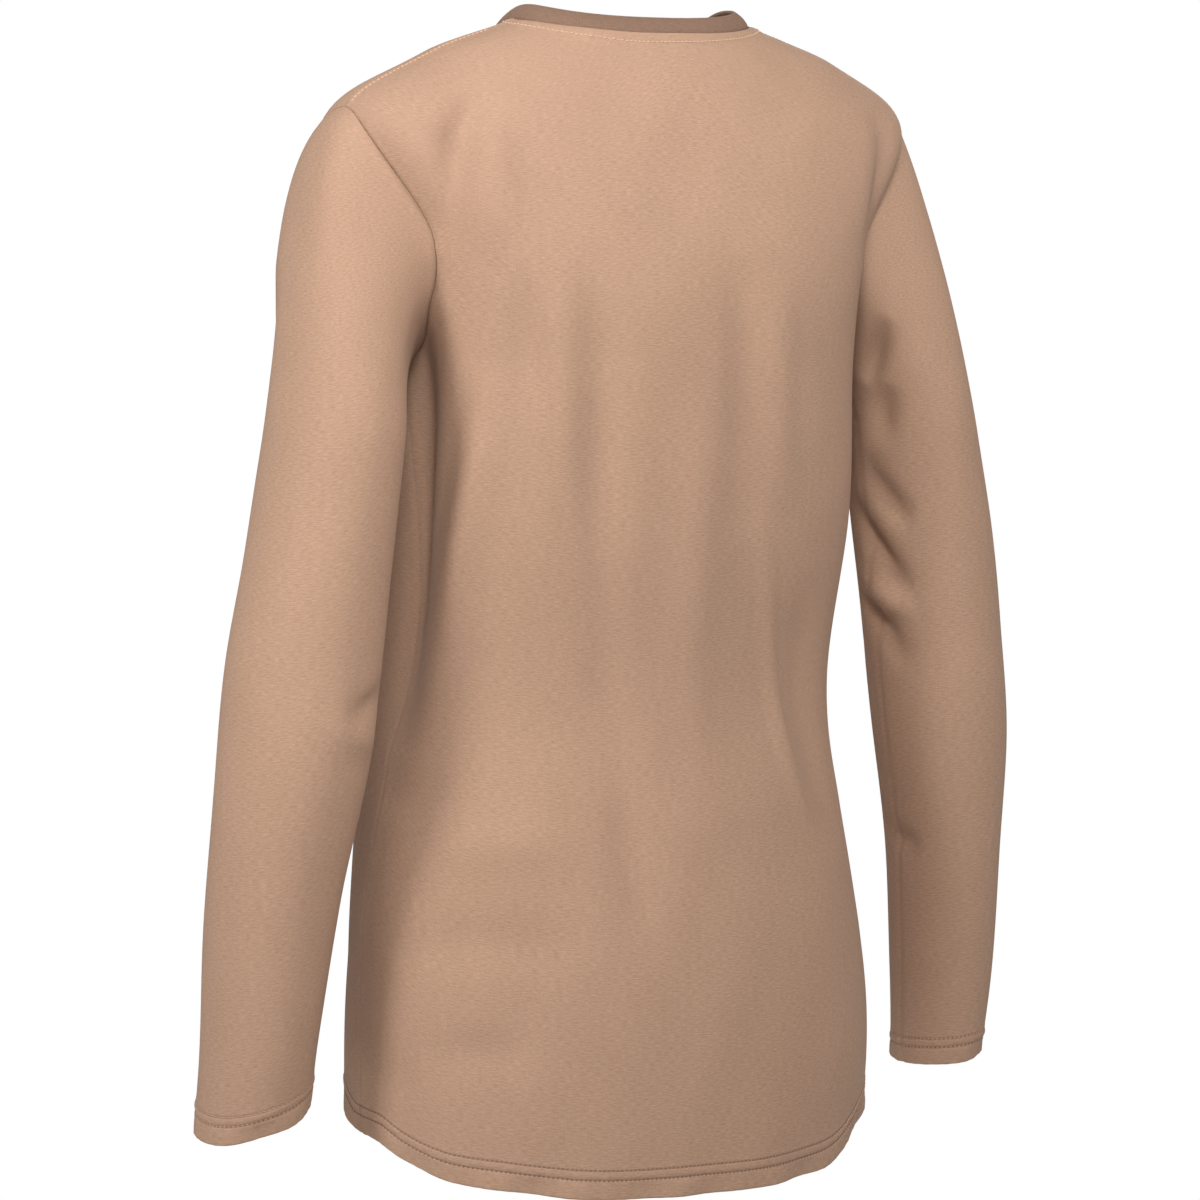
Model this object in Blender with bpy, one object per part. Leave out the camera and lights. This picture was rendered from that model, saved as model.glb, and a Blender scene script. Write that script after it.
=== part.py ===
"""Henley shirt: a long-sleeved knit shirt with a rib neckband, a short buttoned placket and a
shirttail hem, filled out as on a wearer who isn't there.

Metres, +Z up. +X is the wearer's left, the front faces -Y. The origin is the middle of the neck, level
with the point where the shoulder seam meets the neckband.

The body is a stack of rings from hem to neck. A point of it is named by its turn around the body
(degrees: 0 centre back, 90 the wearer's left side, 180 centre front) and its rung in the ring table.
The panels are patches of that form, and the sleeves grow out of the armhole curves drawn on it.
"""
import math
from functools import partial

import bmesh
import bpy
import numpy as np

# ---- driving dimensions -------------------------------------------------------------------------
WALL = 0.0012           # cloth
HEM_WALL = 0.0022       # turned-up hems and cuffs
BAND_WALL = 0.0020      # folded rib of the neckband
STRIP_WALL = 0.0016     # folded placket strips
SEAM_GAP = 0.0003       # between neighbouring pieces
HEM_DEPTH = 0.018       # height of the turned-up hem
CUFF_DEPTH = 0.018      # height of the turned-up cuff
BAND_RISE = 0.0100      # neckband, upwards
BAND_LEAN = 0.0095      # neckband, inwards
BAND_BOW = 0.0012       # outward roll of the neckband halfway up
BAND_START = 0.0004     # up the neckband's slope from its seam, which leaves SEAM_GAP at its inner edge
PLACKET_WIDTH = 0.029
SLIT_WIDTH = 0.022      # opening in the front behind the placket
BUTTON_RADIUS = 0.0055
BUTTON_HEIGHT = 0.0022
BUTTON_DROPS = (0.016, 0.058, 0.100)    # below the neck seam

# Rings of the body from below the hem to the neck seam. half: half width. lean: x of the middle.
# mid: y of the widest point. back, front: y at centre back and centre front. side_z, back_z, front_z:
# heights there. square: 2 is an ellipse in plan, more is squarer.
RING_COLUMNS = ("half", "lean", "mid", "back", "front", "side_z", "back_z", "front_z", "square")
RINGS = (
    (0.1620, 0.005, 0.000, 0.108, -0.110, -0.720, -0.720, -0.720, 2.15),
    (0.1720, 0.0035, 0.000, 0.108, -0.110, -0.640, -0.640, -0.640, 2.15),
    (0.1680, 0.004, 0.000, 0.104, -0.108, -0.560, -0.560, -0.560, 2.15),
    (0.1560, 0.006, 0.000, 0.094, -0.102, -0.480, -0.480, -0.480, 2.15),
    (0.1460, 0.004, 0.000, 0.084, -0.098, -0.400, -0.400, -0.400, 2.15),
    (0.1535, 0.000, 0.000, 0.098, -0.108, -0.300, -0.300, -0.300, 2.20),
    (0.1530, 0.001, 0.000, 0.108, -0.118, -0.200, -0.200, -0.200, 2.30),
    (0.1575, 0.002, 0.000, 0.106, -0.114, -0.130, -0.145, -0.165, 2.70),
    (0.1900, 0.000, 0.006, 0.092, -0.102, -0.0595, -0.085, -0.125, 2.40),
    (0.1370, -0.002, 0.013, 0.080, -0.091, -0.0225, -0.045, -0.103, 2.20),
    (0.0785, 0.003, 0.018, 0.063, -0.078, -0.0025, -0.010, -0.085, 2.50),
)
RING_SPACING = 0.08     # between the lower rings
ARMPIT_RUNG = 6.0
SHOULDER_RUNG = 8.10
NECK_RUNG = 10.0

# Height of the hem by turn round the body: highest beside the side seams, lowest at centre back.
HEM_COLUMNS = ("turn", "height")
HEM = (
    (-180, -0.6880),
    (-154, -0.6845),
    (-138, -0.6750),
    (-126, -0.6640),
    (-114, -0.6545),
    (-104, -0.6515),
    (-96, -0.6540),
    (-86, -0.6590),
    (-70, -0.6680),
    (-60, -0.6735),
    (-50, -0.6825),
    (-40, -0.6930),
    (-26, -0.6970),
    (0, -0.6962),
    (26, -0.6925),
    (42, -0.6865),
    (58, -0.6810),
    (70, -0.6720),
    (78, -0.6640),
    (86, -0.6620),
    (94, -0.6605),
    (102, -0.6545),
    (108, -0.6510),
    (114, -0.6505),
    (124, -0.6620),
    (138, -0.6745),
    (154, -0.6840),
    (180, -0.6880),
)

# Armhole on the body form, by turn round it: 0 on the shoulder ridge, 90 back, 180 armpit, 270 front.
ARMHOLE_BACK_SPREAD = 27.5      # degrees of body turn from the side line
ARMHOLE_FRONT_SPREAD = 28.0
SEAM_ARM_TURN = 5.0             # where the shoulder seam meets it, just behind the ridge

# How a sleeve leaves the top of the armhole: outwards and down, and for how much of its way to the
# first ring. At the sides and under the arm the way changes by the amounts below (x out, y back, z up).
SLEEVE_START_COLUMNS = ("out", "down", "pull")
LEFT_SLEEVE_START = (1.00, 0.72, 0.60)
RIGHT_SLEEVE_START = (0.42, 0.88, 0.50)
SIDE_CHANGE = (0.10, 0.15, 0.15)
UNDER_CHANGE = (-0.15, 0.0, -0.15)
LEAST_OUTWARD = 0.1             # of the way, along the body's outward direction
CAP_PLAIN = 1 / 3               # share of the cap over which a sleeve's folds begin

# Rings of a sleeve below its cap, x outwards: height and middle of the ring, its half sizes across
# and front to back, and how far its plane falls per metre outwards and backwards.
ARM_COLUMNS = ("height", "x", "y", "half_x", "half_y", "fall_x", "fall_y")
LEFT_ARM = (
    (-0.250, 0.2016, 0.021, 0.0395, 0.050, 0.10, 0.00),
    (-0.310, 0.2097, 0.019, 0.0425, 0.049, 0.10, 0.00),
    (-0.370, 0.2196, 0.020, 0.0459, 0.047, 0.10, 0.00),
    (-0.440, 0.2275, 0.019, 0.0448, 0.046, 0.10, 0.00),
    (-0.520, 0.2365, 0.010, 0.0392, 0.042, 0.20, 0.05),
    (-0.600, 0.2418, 0.001, 0.0345, 0.038, 0.28, 0.10),
    (-0.6435, 0.2435, -0.005, 0.0343, 0.035, 0.32, 0.12),
)
RIGHT_ARM = (
    (-0.250, 0.2020, 0.020, 0.0390, 0.050, 0.10, 0.00),
    (-0.310, 0.2120, 0.019, 0.0425, 0.048, 0.10, 0.00),
    (-0.370, 0.2196, 0.020, 0.0428, 0.046, 0.05, 0.00),
    (-0.440, 0.2275, 0.019, 0.0419, 0.044, 0.00, 0.00),
    (-0.520, 0.2365, 0.010, 0.0342, 0.041, 0.00, 0.00),
    (-0.600, 0.2418, 0.001, 0.0307, 0.037, -0.05, -0.03),
    (-0.656, 0.2430, -0.005, 0.0272, 0.034, -0.08, -0.04),
)

# Folds. Each runs along a curve through three places of the surface, given as turn and rung on the
# body, or as turn round the arm (0 outer side, 90 back, 180 inner side) and along on a sleeve (0 at the
# armhole, 1 at the arm table's first row). depth is along the surface's outward direction, so a trough
# is negative. width is its half width.
FOLD_COLUMNS = ("turn_a", "rung_a", "turn_b", "rung_b", "turn_c", "rung_c", "depth", "width")
BODY_FOLDS = (
    # back, beside the armholes
    (53, 8.75, 46, 7.90, 62, 6.95, -0.0095, 0.0125),
    (40, 8.30, 39, 7.60, 49, 6.90, 0.0035, 0.0140),
    (-54, 8.45, -50, 7.67, -60, 6.85, -0.0065, 0.0160),
    # left side: a deep hollow behind the arm, and cloth standing out in front of it
    (71, 6.60, 79, 5.20, 86, 3.40, -0.0170, 0.0200),
    (62, 6.90, 65, 6.20, 69, 5.50, 0.0035, 0.0120),
    (110, 5.20, 113, 3.80, 110, 2.00, 0.0080, 0.0280),
    # left hip, flat behind the side seam
    (77, 3.30, 75, 2.30, 76, 1.20, 0.0070, 0.0290),
    # back, hanging between the shoulder blades
    (40, 7.01, 42, 6.13, 41, 5.53, -0.0040, 0.0130),
    (32, 7.12, 34, 5.88, 31, 5.00, 0.0035, 0.0140),
    (25, 7.22, 24, 5.38, 17, 3.77, -0.0050, 0.0150),
    (17, 4.00, 14, 3.00, 11, 2.00, -0.0040, 0.0160),
    (-9, 7.08, -10, 5.77, -13, 4.90, -0.0050, 0.0150),
    (-20, 6.99, -21, 5.83, -24, 5.05, 0.0035, 0.0140),
    (3, 5.77, -2, 4.61, -6, 3.25, 0.0040, 0.0180),
    # back, from the shoulder blade round to the side seam
    (47, 6.00, 60, 4.84, 86, 2.62, 0.0070, 0.0170),
    (56, 5.58, 61, 5.10, 70, 4.32, -0.0060, 0.0130),
    (-36, 4.70, -42, 3.70, -54, 2.70, -0.0055, 0.0180),
    (-20, 4.90, -26, 3.95, -40, 2.60, 0.0050, 0.0130),
    # back, over the seat
    (72, 2.05, 50, 2.25, 22, 2.10, -0.0032, 0.0180),
    (60, 2.75, 42, 2.95, 24, 2.80, 0.0028, 0.0180),
    (62, 1.30, 48, 1.45, 34, 1.40, -0.0028, 0.0160),
    # front, from the armholes to the chest
    (124, 7.50, 128, 6.92, 140, 6.15, -0.0065, 0.0140),
    (-122, 7.54, -127, 6.91, -143, 6.25, -0.0060, 0.0150),
    # front, hanging from the chest
    (156, 6.17, 153, 5.19, 157, 4.21, -0.0050, 0.0150),
    (143, 6.00, 140, 5.00, 130, 3.77, 0.0045, 0.0160),
    (-148, 6.08, -150, 5.00, -156, 3.89, -0.0050, 0.0160),
    (-134, 5.88, -130, 4.90, -118, 3.65, 0.0050, 0.0170),
    # front, over the waist and hips
    (104, 4.42, 122, 3.95, 146, 3.71, -0.0050, 0.0170),
    (-101, 4.26, -120, 3.89, -140, 3.52, -0.0050, 0.0180),
    (166, 3.77, 160, 2.62, 164, 1.38, -0.0040, 0.0180),
    (-162, 3.25, -168, 2.25, -166, 1.12, 0.0040, 0.0180),
)
LEFT_SLEEVE_FOLDS = (
    (158, 3.39, 125, 3.46, 98, 3.54, -0.0040, 0.0100),
    (150, 3.75, 112, 3.70, 80, 3.42, 0.0030, 0.0100),
    (215, 1.89, 190, 2.27, 165, 2.42, -0.0045, 0.0100),
    (300, 2.56, 268, 2.85, 225, 2.73, -0.0050, 0.0110),
    (295, 3.00, 262, 3.16, 220, 3.12, 0.0035, 0.0100),
    (292, 3.45, 258, 3.43, 215, 3.64, -0.0040, 0.0110),
    (330, 0.51, 320, 0.72, 300, 0.98, -0.0040, 0.0140),
    (250, 5.06, 220, 5.23, 185, 5.16, -0.0030, 0.0110),
)
RIGHT_SLEEVE_FOLDS = (
    (108, 0.34, 133, 0.37, 156, 0.50, -0.0055, 0.0100),
    (136, 0.62, 151, 0.86, 157, 1.22, -0.0035, 0.0100),
    (176, 1.33, 153, 1.77, 132, 1.95, -0.0045, 0.0100),
    (200, 1.74, 171, 2.27, 138, 2.75, -0.0065, 0.0100),
    (206, 2.51, 164, 2.82, 138, 2.84, 0.0035, 0.0090),
    (208, 2.80, 177, 2.98, 148, 3.46, -0.0050, 0.0105),
    (200, 4.85, 172, 4.88, 150, 4.92, -0.0030, 0.0090),
    (300, 2.48, 266, 2.71, 222, 2.64, -0.0045, 0.0110),
    (296, 3.29, 258, 3.21, 216, 3.40, -0.0040, 0.0110),
    (334, 0.56, 322, 0.75, 304, 0.96, -0.0040, 0.0140),
)
FOLD_STEPS = 12         # straight pieces of a fold's curve
FOLD_FADE = 0.6         # how slowly a fold dies out towards its ends; 1 is a half wave

# Mesh sizes. Neighbouring pieces share their seam's places, so that the gap between them is even.
HALF_COLUMNS = 15       # of a panel, centre line to side seam
BODY_ROWS = 14          # above the hem's own row, up to the armpit
BODY_CROWDING = 1.25    # of those rows towards the armpit; 1 is even
ARMHOLE_ROWS = 12       # beside the armhole; the placket ends at the armpit's row
ARMHOLE_CROWDING = 0.35 # of those rows towards the middle of the armhole
SEAM_ROWS = 6           # beside the shoulder seam
BAND_ROWS = 3
CAP_ROWS = 9
ARM_ROWS = 15
BUTTON_SIDES = 20
CURVE_SAMPLES = 400     # places at which a curve is read to find a height or a length on it
TURN_STEP = 0.6         # degrees, between the places that give a surface's outward direction
RUNG_STEP = 0.02
SHARP_ANGLE = 40        # degrees, above which an edge is drawn sharp

TAN = (0.52, 0.32, 0.21, 1.0)
TAN_RIB = (0.48, 0.29, 0.19, 1.0)
BUTTON_TAN = (0.42, 0.26, 0.17, 1.0)


# ---- tables and curves --------------------------------------------------------------------------
def column(table, columns, name):
    """One named column of a table."""
    return np.array([row[columns.index(name)] for row in table], float)


def smooth(knots, values, at):
    """Smooth curve through (knots, values), read at the places in `at`."""
    knots = np.asarray(knots, float)
    values = np.asarray(values, float)
    slopes = np.gradient(values, knots)
    at = np.clip(np.asarray(at, float), knots[0], knots[-1])
    i = np.clip(np.searchsorted(knots, at, side="right") - 1, 0, len(knots) - 2)
    span = knots[i + 1] - knots[i]
    u = (at - knots[i]) / span
    start = (1 + 2 * u) * (1 - u) ** 2 * values[i] + u * (1 - u) ** 2 * span * slopes[i]
    end = u ** 2 * (3 - 2 * u) * values[i + 1] + u ** 2 * (u - 1) * span * slopes[i + 1]
    return start + end


def ring_value(name, rung):
    """A ring table's column at a rung, which may lie between rings."""
    values = column(RINGS, RING_COLUMNS, name)
    return smooth(np.arange(len(values)), values, rung)


def unit(vectors):
    return vectors / np.linalg.norm(vectors, axis=-1, keepdims=True)


def fold_path(place, fold):
    """Points along a fold on the surface place(turn, rung)."""
    share = np.linspace(0, 1, FOLD_STEPS + 1)
    start, middle, end = (np.array([fold["turn_" + k], fold["rung_" + k]], float) for k in "abc")
    pull = 2 * middle - (start + end) / 2
    weights = ((1 - share) ** 2, 2 * share * (1 - share), share ** 2)
    turn, rung = sum(np.outer(spot, weight) for spot, weight in zip((start, pull, end), weights))
    return place(turn, rung)


def fold_depth(table, place, points):
    """Sum of the folds' depths at points of the surface place(turn, rung)."""
    total = np.zeros(points.shape[:-1])
    for row in table:
        fold = dict(zip(FOLD_COLUMNS, row))
        path = fold_path(place, fold)
        nearest = np.full(total.shape, np.inf)
        along = np.zeros(total.shape)
        for k in range(FOLD_STEPS):
            step = path[k + 1] - path[k]
            share = np.clip((points - path[k]) @ step / (step @ step), 0, 1)
            gap = np.linalg.norm(points - path[k] - share[..., None] * step, axis=-1)
            closer = gap < nearest
            nearest = np.where(closer, gap, nearest)
            along = np.where(closer, (k + share) / FOLD_STEPS, along)
        fade = np.sin(math.pi * along) ** FOLD_FADE
        total += fold["depth"] * fade * np.exp(-(nearest / fold["width"]) ** 2)
    return total


# ---- body form ----------------------------------------------------------------------------------
def ring_place(turn, rung):
    """Point of the plain body form, before folds."""
    angle = np.radians(turn)
    sine = np.sin(angle)
    cosine = np.cos(angle)
    square = ring_value("square", rung)
    radius = (np.abs(sine) ** square + np.abs(cosine) ** square) ** (-1 / square)
    share = radius * np.abs(cosine)
    behind = cosine > 0
    mid = ring_value("mid", rung)
    across = ring_value("lean", rung) + ring_value("half", rung) * radius * sine
    centre_y = np.where(behind, ring_value("back", rung), ring_value("front", rung))
    centre_z = np.where(behind, ring_value("back_z", rung), ring_value("front_z", rung))
    side_z = ring_value("side_z", rung)
    return np.stack([across, mid + (centre_y - mid) * share,
                     side_z + (centre_z - side_z) * share ** 2], axis=-1)


def normals_of(place, turn, rung):
    """Outward directions of a surface place(turn, rung), by differences."""
    across = place(turn + TURN_STEP, rung) - place(turn - TURN_STEP, rung)
    low = np.clip(rung - RUNG_STEP, 0, NECK_RUNG)
    high = np.clip(rung + RUNG_STEP, 0, NECK_RUNG)
    up = place(turn, high) - place(turn, low)
    return unit(np.cross(up, across))


def body_place(turn, rung):
    """Point of the body form with its folds."""
    plain = ring_place(turn, rung)
    facing = normals_of(ring_place, turn, rung)
    return plain + facing * fold_depth(BODY_FOLDS, ring_place, plain)[..., None]


def body_normal(turn, rung):
    return normals_of(body_place, turn, rung)


def armhole_place(arm_turn):
    """(turn, rung) of the left armhole at a turn round it. Its top is at the shoulder seam."""
    angle = np.radians(arm_turn)
    spread = np.where(np.sin(angle) > 0, ARMHOLE_BACK_SPREAD, ARMHOLE_FRONT_SPREAD)
    turn = 90 - spread * np.sin(angle)
    climb = np.interp((arm_turn - SEAM_ARM_TURN) % 360, (0, 180 - SEAM_ARM_TURN, 360), (0, 180, 360))
    swing = (SHOULDER_RUNG - ARMPIT_RUNG) / 2
    return turn, ARMPIT_RUNG + swing * (1 + np.cos(np.radians(climb)))


def half_gap_turn(turn, rung):
    """Turn that moves a point sideways by half a seam gap."""
    ahead = ring_place(turn + TURN_STEP, rung)
    behind = ring_place(turn - TURN_STEP, rung)
    return SEAM_GAP / 2 * 2 * TURN_STEP / np.linalg.norm(ahead - behind, axis=-1)


def hem_rung(turn):
    """Rung at which the form has the hem's height."""
    height = smooth(column(HEM, HEM_COLUMNS, "turn"), column(HEM, HEM_COLUMNS, "height"), turn)
    rungs = np.linspace(0, 3, CURVE_SAMPLES)
    return np.interp(height, ring_value("side_z", rungs), rungs)


# ---- panels -------------------------------------------------------------------------------------
def panel_arm_turns(is_front):
    """Turns round the armhole of a panel's rows beside it, from the armpit to the shoulder seam."""
    end = 360.0 + SEAM_ARM_TURN if is_front else SEAM_ARM_TURN
    share = np.linspace(0, 1, ARMHOLE_ROWS + 1)
    share = share + ARMHOLE_CROWDING * np.sin(2 * math.pi * share) / (2 * math.pi)
    return 180.0 + (end - 180.0) * share


def yoke_edge(is_front):
    """(turn, rung) of a panel's left edge above the armpit: the armhole, then the shoulder seam."""
    turns, rungs = armhole_place(panel_arm_turns(is_front))
    along = np.linspace(0, 1, SEAM_ROWS + 1)[1:]
    seam_turns = turns[-1] + (90.0 - turns[-1]) * along
    seam_rungs = rungs[-1] + (NECK_RUNG - rungs[-1]) * along
    return np.concatenate([turns[1:], seam_turns]), np.concatenate([rungs[1:], seam_rungs])


def slit_turn(rung):
    """Turn from centre front of the slit's edge."""
    return np.degrees(np.arctan2(SLIT_WIDTH / 2, ring_value("half", rung)))


def body_rises():
    """Shares of the way up from the hem's row to the armpit, closer together near the armpit."""
    return 1 - (1 - np.linspace(0, 1, BODY_ROWS)) ** BODY_CROWDING


def half_grid(side, is_front):
    """(turn, rung) arrays of half a panel, from the centre line to the side, on the wearer's left
    (side 1) or right (side -1). Rows run level, from the hem to the neckline."""
    edge_turns, edge_rungs = yoke_edge(is_front)
    edge_turns = np.concatenate([np.full(BODY_ROWS + 1, 90.0), edge_turns])
    centre = 180.0 if is_front else 0.0
    turns = []
    rungs = []
    for share in np.arange(HALF_COLUMNS + 1) / HALF_COLUMNS:
        low = hem_rung(side * (centre + (90.0 - centre) * share))
        hem_top = low + HEM_DEPTH / RING_SPACING
        up = hem_top + (ARMPIT_RUNG - hem_top) * body_rises()
        rungs.append(np.concatenate([[low], up, edge_rungs]))
        off_centre = np.abs(edge_turns - centre)
        if is_front and share > 0:
            # The first column runs along the slit's edge, and the others close up.
            slit = slit_turn(rungs[0])
            off_centre = slit + (off_centre - slit) * (share * HALF_COLUMNS - 1) / (HALF_COLUMNS - 1)
        else:
            off_centre = off_centre * share
        gap = half_gap_turn(edge_turns, rungs[-1]) * share
        turns.append(np.abs(centre - off_centre + gap))
    return np.array(turns) * side, np.array(rungs)


def panel_grid(is_front):
    """(turn, rung) arrays of a whole panel, from the wearer's right to left."""
    right = half_grid(-1, is_front)
    left = half_grid(1, is_front)
    return tuple(np.concatenate([a[::-1], b[1:]]) for a, b in zip(right, left))


def wall_object(name, outer, inner, cells, material, around=False):
    """Closed solid between two grids of points, over the marked cells."""
    wide, high = outer.shape[:2]
    mesh = bmesh.new()
    sheets = [[[mesh.verts.new(sheet[i, j]) for j in range(high)] for i in range(wide)]
              for sheet in (outer, inner)]
    total = wide if around else wide - 1

    def solid(i, j):
        if around:
            i %= wide
        return 0 <= i < total and 0 <= j < high - 1 and cells[i, j]

    for i in range(total):
        for j in range(high - 1):
            if not cells[i, j]:
                continue
            k = (i + 1) % wide
            corners = ((i, j), (k, j), (k, j + 1), (i, j + 1))
            mesh.faces.new([sheets[0][a][b] for a, b in corners])
            mesh.faces.new([sheets[1][a][b] for a, b in reversed(corners)])
            rims = (((i, j), (k, j), solid(i, j - 1)), ((k, j), (k, j + 1), solid(i + 1, j)),
                    ((k, j + 1), (i, j + 1), solid(i, j + 1)), ((i, j + 1), (i, j), solid(i - 1, j)))
            for (a, b), (c, d), covered in rims:
                if not covered:
                    mesh.faces.new([sheets[0][c][d], sheets[0][a][b], sheets[1][a][b], sheets[1][c][d]])
    bmesh.ops.delete(mesh, geom=[v for v in mesh.verts if not v.link_faces], context="VERTS")
    bmesh.ops.recalc_face_normals(mesh, faces=mesh.faces)
    return finish_object(name, mesh, material)


def finish_object(name, mesh, material):
    data = bpy.data.meshes.new(name)
    mesh.to_mesh(data)
    mesh.free()
    data.shade_smooth()
    data.set_sharp_from_angle(angle=math.radians(SHARP_ANGLE))
    data.materials.append(material)
    made = bpy.data.objects.new(name, data)
    bpy.context.scene.collection.objects.link(made)
    return made


def make_panel(name, is_front, material):
    turns, rungs = panel_grid(is_front)
    outer = body_place(turns, rungs)
    walls = np.full(turns.shape, WALL)
    walls[:, :2] = HEM_WALL
    inner = outer - body_normal(turns, rungs) * walls[..., None]
    cells = np.ones((turns.shape[0] - 1, turns.shape[1] - 1), bool)
    if is_front:
        slit_foot = BODY_ROWS + 1
        cells[HALF_COLUMNS - 1:HALF_COLUMNS + 1, slit_foot:] = False
    return wall_object(name, outer, inner, cells, material)


# ---- neckband -----------------------------------------------------------------------------------
def band_place(turn, rise):
    """Point of the neckband: rise 0 at its seam, 1 at its top edge."""
    rung = np.full(np.shape(turn), NECK_RUNG)
    along = ring_place(turn + TURN_STEP, rung) - ring_place(turn - TURN_STEP, rung)
    outward = unit(np.stack([-along[..., 1], along[..., 0], 0 * along[..., 0]], axis=-1))
    toward = -outward * BAND_LEAN + np.array([0, 0, BAND_RISE])
    lift = unit(outward * BAND_RISE + np.array([0, 0, BAND_LEAN]))
    first = BAND_START / np.linalg.norm([BAND_LEAN, BAND_RISE])
    share = first + (1 - first) * rise
    bow = BAND_BOW * np.sin(math.pi * share)
    return ring_place(turn, rung) + toward * share[..., None] + lift * bow[..., None]


def grid_normals(points, around=False):
    """Outward directions of a grid of points, by differences along both ways."""
    if around:
        across = np.roll(points, -1, axis=0) - np.roll(points, 1, axis=0)
    else:
        across = np.gradient(points, axis=0)
    up = np.gradient(points, axis=1)
    return unit(np.cross(up, across))


def neckline_turns():
    """Turns of the neckband's columns, from the slit's right edge round the back to its left one."""
    front = half_grid(1, True)[0][1:-1, -1]
    back = half_grid(1, False)[0][1:-1, -1]
    left = np.concatenate([back, [90.0], front[::-1]])
    return np.concatenate([-left[::-1], [0.0], left])


def make_neck_band(material):
    rises = np.linspace(0, 1, BAND_ROWS + 1)
    turns = neckline_turns()[:, None] * np.ones(len(rises))
    outer = band_place(turns, np.ones(turns.shape) * rises)
    facing = grid_normals(outer)
    facing[:, 0] = body_normal(turns[:, 0], np.full(len(turns), NECK_RUNG))
    inner = outer - facing * BAND_WALL
    cells = np.ones((turns.shape[0] - 1, BAND_ROWS), bool)
    return wall_object("neck_band", outer, inner, cells, material)


# ---- placket and buttons ------------------------------------------------------------------------
def placket_base(xs, first_row):
    """Grid on the front's and neckband's outer surface, across the placket from left to right, and
    up it."""
    rungs = half_grid(1, True)[1][0, BODY_ROWS + first_row:]
    foot = ring_place(np.full(2, 180.0), rungs[:2])
    rungs[0] += SEAM_GAP * (rungs[1] - rungs[0]) / np.linalg.norm(foot[1] - foot[0])
    lean = np.degrees(np.arctan2(xs[:, None], ring_value("half", rungs)))
    front = body_place(180.0 - lean, np.ones_like(lean) * rungs)
    rises = np.linspace(0, 1, BAND_ROWS + 1)[1:]
    lean = np.degrees(np.arctan2(xs[:, None], ring_value("half", NECK_RUNG))) * np.ones(BAND_ROWS)
    band = band_place(180.0 - lean, np.ones_like(lean) * rises)
    return np.concatenate([front, band], axis=1)


def make_placket(name, xs, first_row, lift, thickness, material):
    base = placket_base(np.array(xs), first_row)
    facing = grid_normals(base)
    outer = base + facing * (lift + thickness)
    inner = base + facing * lift
    cells = np.ones((base.shape[0] - 1, base.shape[1] - 1), bool)
    return wall_object(name, outer, inner, cells, material)


def neck_drop_rung(drop):
    """Rung on centre front that lies `drop` along the cloth below the neck seam."""
    rungs = np.linspace(NECK_RUNG, ARMPIT_RUNG - 1, CURVE_SAMPLES)
    path = ring_place(np.full(CURVE_SAMPLES, 180.0), rungs)
    length = np.concatenate([[0], np.cumsum(np.linalg.norm(np.diff(path, axis=0), axis=1))])
    return np.interp(drop, length, rungs)


def make_button(name, drop, lift, material):
    """Turned button with a raised rim, on the upper placket strip."""
    radius = BUTTON_RADIUS
    height = BUTTON_HEIGHT
    profile = ((0, 0), (radius * 0.8, 0), (radius, height * 0.35), (radius, height * 0.65),
               (radius * 0.9, height), (radius * 0.72, height), (radius * 0.6, height * 0.7),
               (0, height * 0.7))
    mesh = bmesh.new()
    points = [mesh.verts.new((x, 0, z)) for x, z in profile]
    edges = [mesh.edges.new(pair) for pair in zip(points, points[1:])]
    bmesh.ops.spin(mesh, geom=points + edges, cent=(0, 0, 0), axis=(0, 0, 1),
                   angle=2 * math.pi, steps=BUTTON_SIDES, use_merge=True)
    bmesh.ops.remove_doubles(mesh, verts=mesh.verts, dist=0.00001)
    bmesh.ops.recalc_face_normals(mesh, faces=mesh.faces)
    made = finish_object(name, mesh, material)
    rung = neck_drop_rung(drop)
    spot = body_place(np.array(180.0), np.array(rung))
    facing = body_normal(np.array(180.0), np.array(rung))
    made.location = spot + facing * lift
    made.rotation_euler = (math.atan2(-facing[1], facing[2]), 0, 0)
    return made


# ---- sleeves ------------------------------------------------------------------------------------
def arm_ring(arm, arm_turn, rung):
    """Point of a plain sleeve ring; rung counts the rows of the arm table."""
    value = {name: smooth(np.arange(len(arm)), column(arm, ARM_COLUMNS, name), rung)
             for name in ARM_COLUMNS}
    angle = np.radians(arm_turn)
    off_x = value["half_x"] * np.cos(angle)
    off_y = value["half_y"] * np.sin(angle)
    height = value["height"] - value["fall_x"] * off_x - value["fall_y"] * off_y
    return np.stack([value["x"] + off_x, value["y"] + off_y, height], axis=-1)


def armhole_start(arm_turn, side, start):
    """Start of a sleeve at the armhole, and the way it sets off, with x outwards."""
    turn, rung = armhole_place(arm_turn)
    mirror = np.array([side, 1, 1])
    seam = body_place(side * turn, rung) * mirror
    facing = body_normal(side * turn, rung) * mirror
    ahead = ring_place(*armhole_place(arm_turn + TURN_STEP))
    behind = ring_place(*armhole_place(arm_turn - TURN_STEP))
    leaving = unit(np.cross(unit(ahead - behind), facing))
    under = (1 - np.cos(np.radians(arm_turn))) / 2
    beside = np.sin(np.radians(arm_turn))
    first = seam + SEAM_GAP * (leaving + facing * under[..., None])
    change = np.stack([beside ** 2, beside * (1 - under), beside ** 2], axis=-1) * np.array(SIDE_CHANGE)
    change = change + (under ** 2)[..., None] * np.array(UNDER_CHANGE)
    way = np.array([start["out"], 0, -start["down"]]) + change
    dip = np.minimum(np.sum(way * facing, axis=-1, keepdims=True) - LEAST_OUTWARD, 0)
    return first, unit(way - facing * dip)


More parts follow.
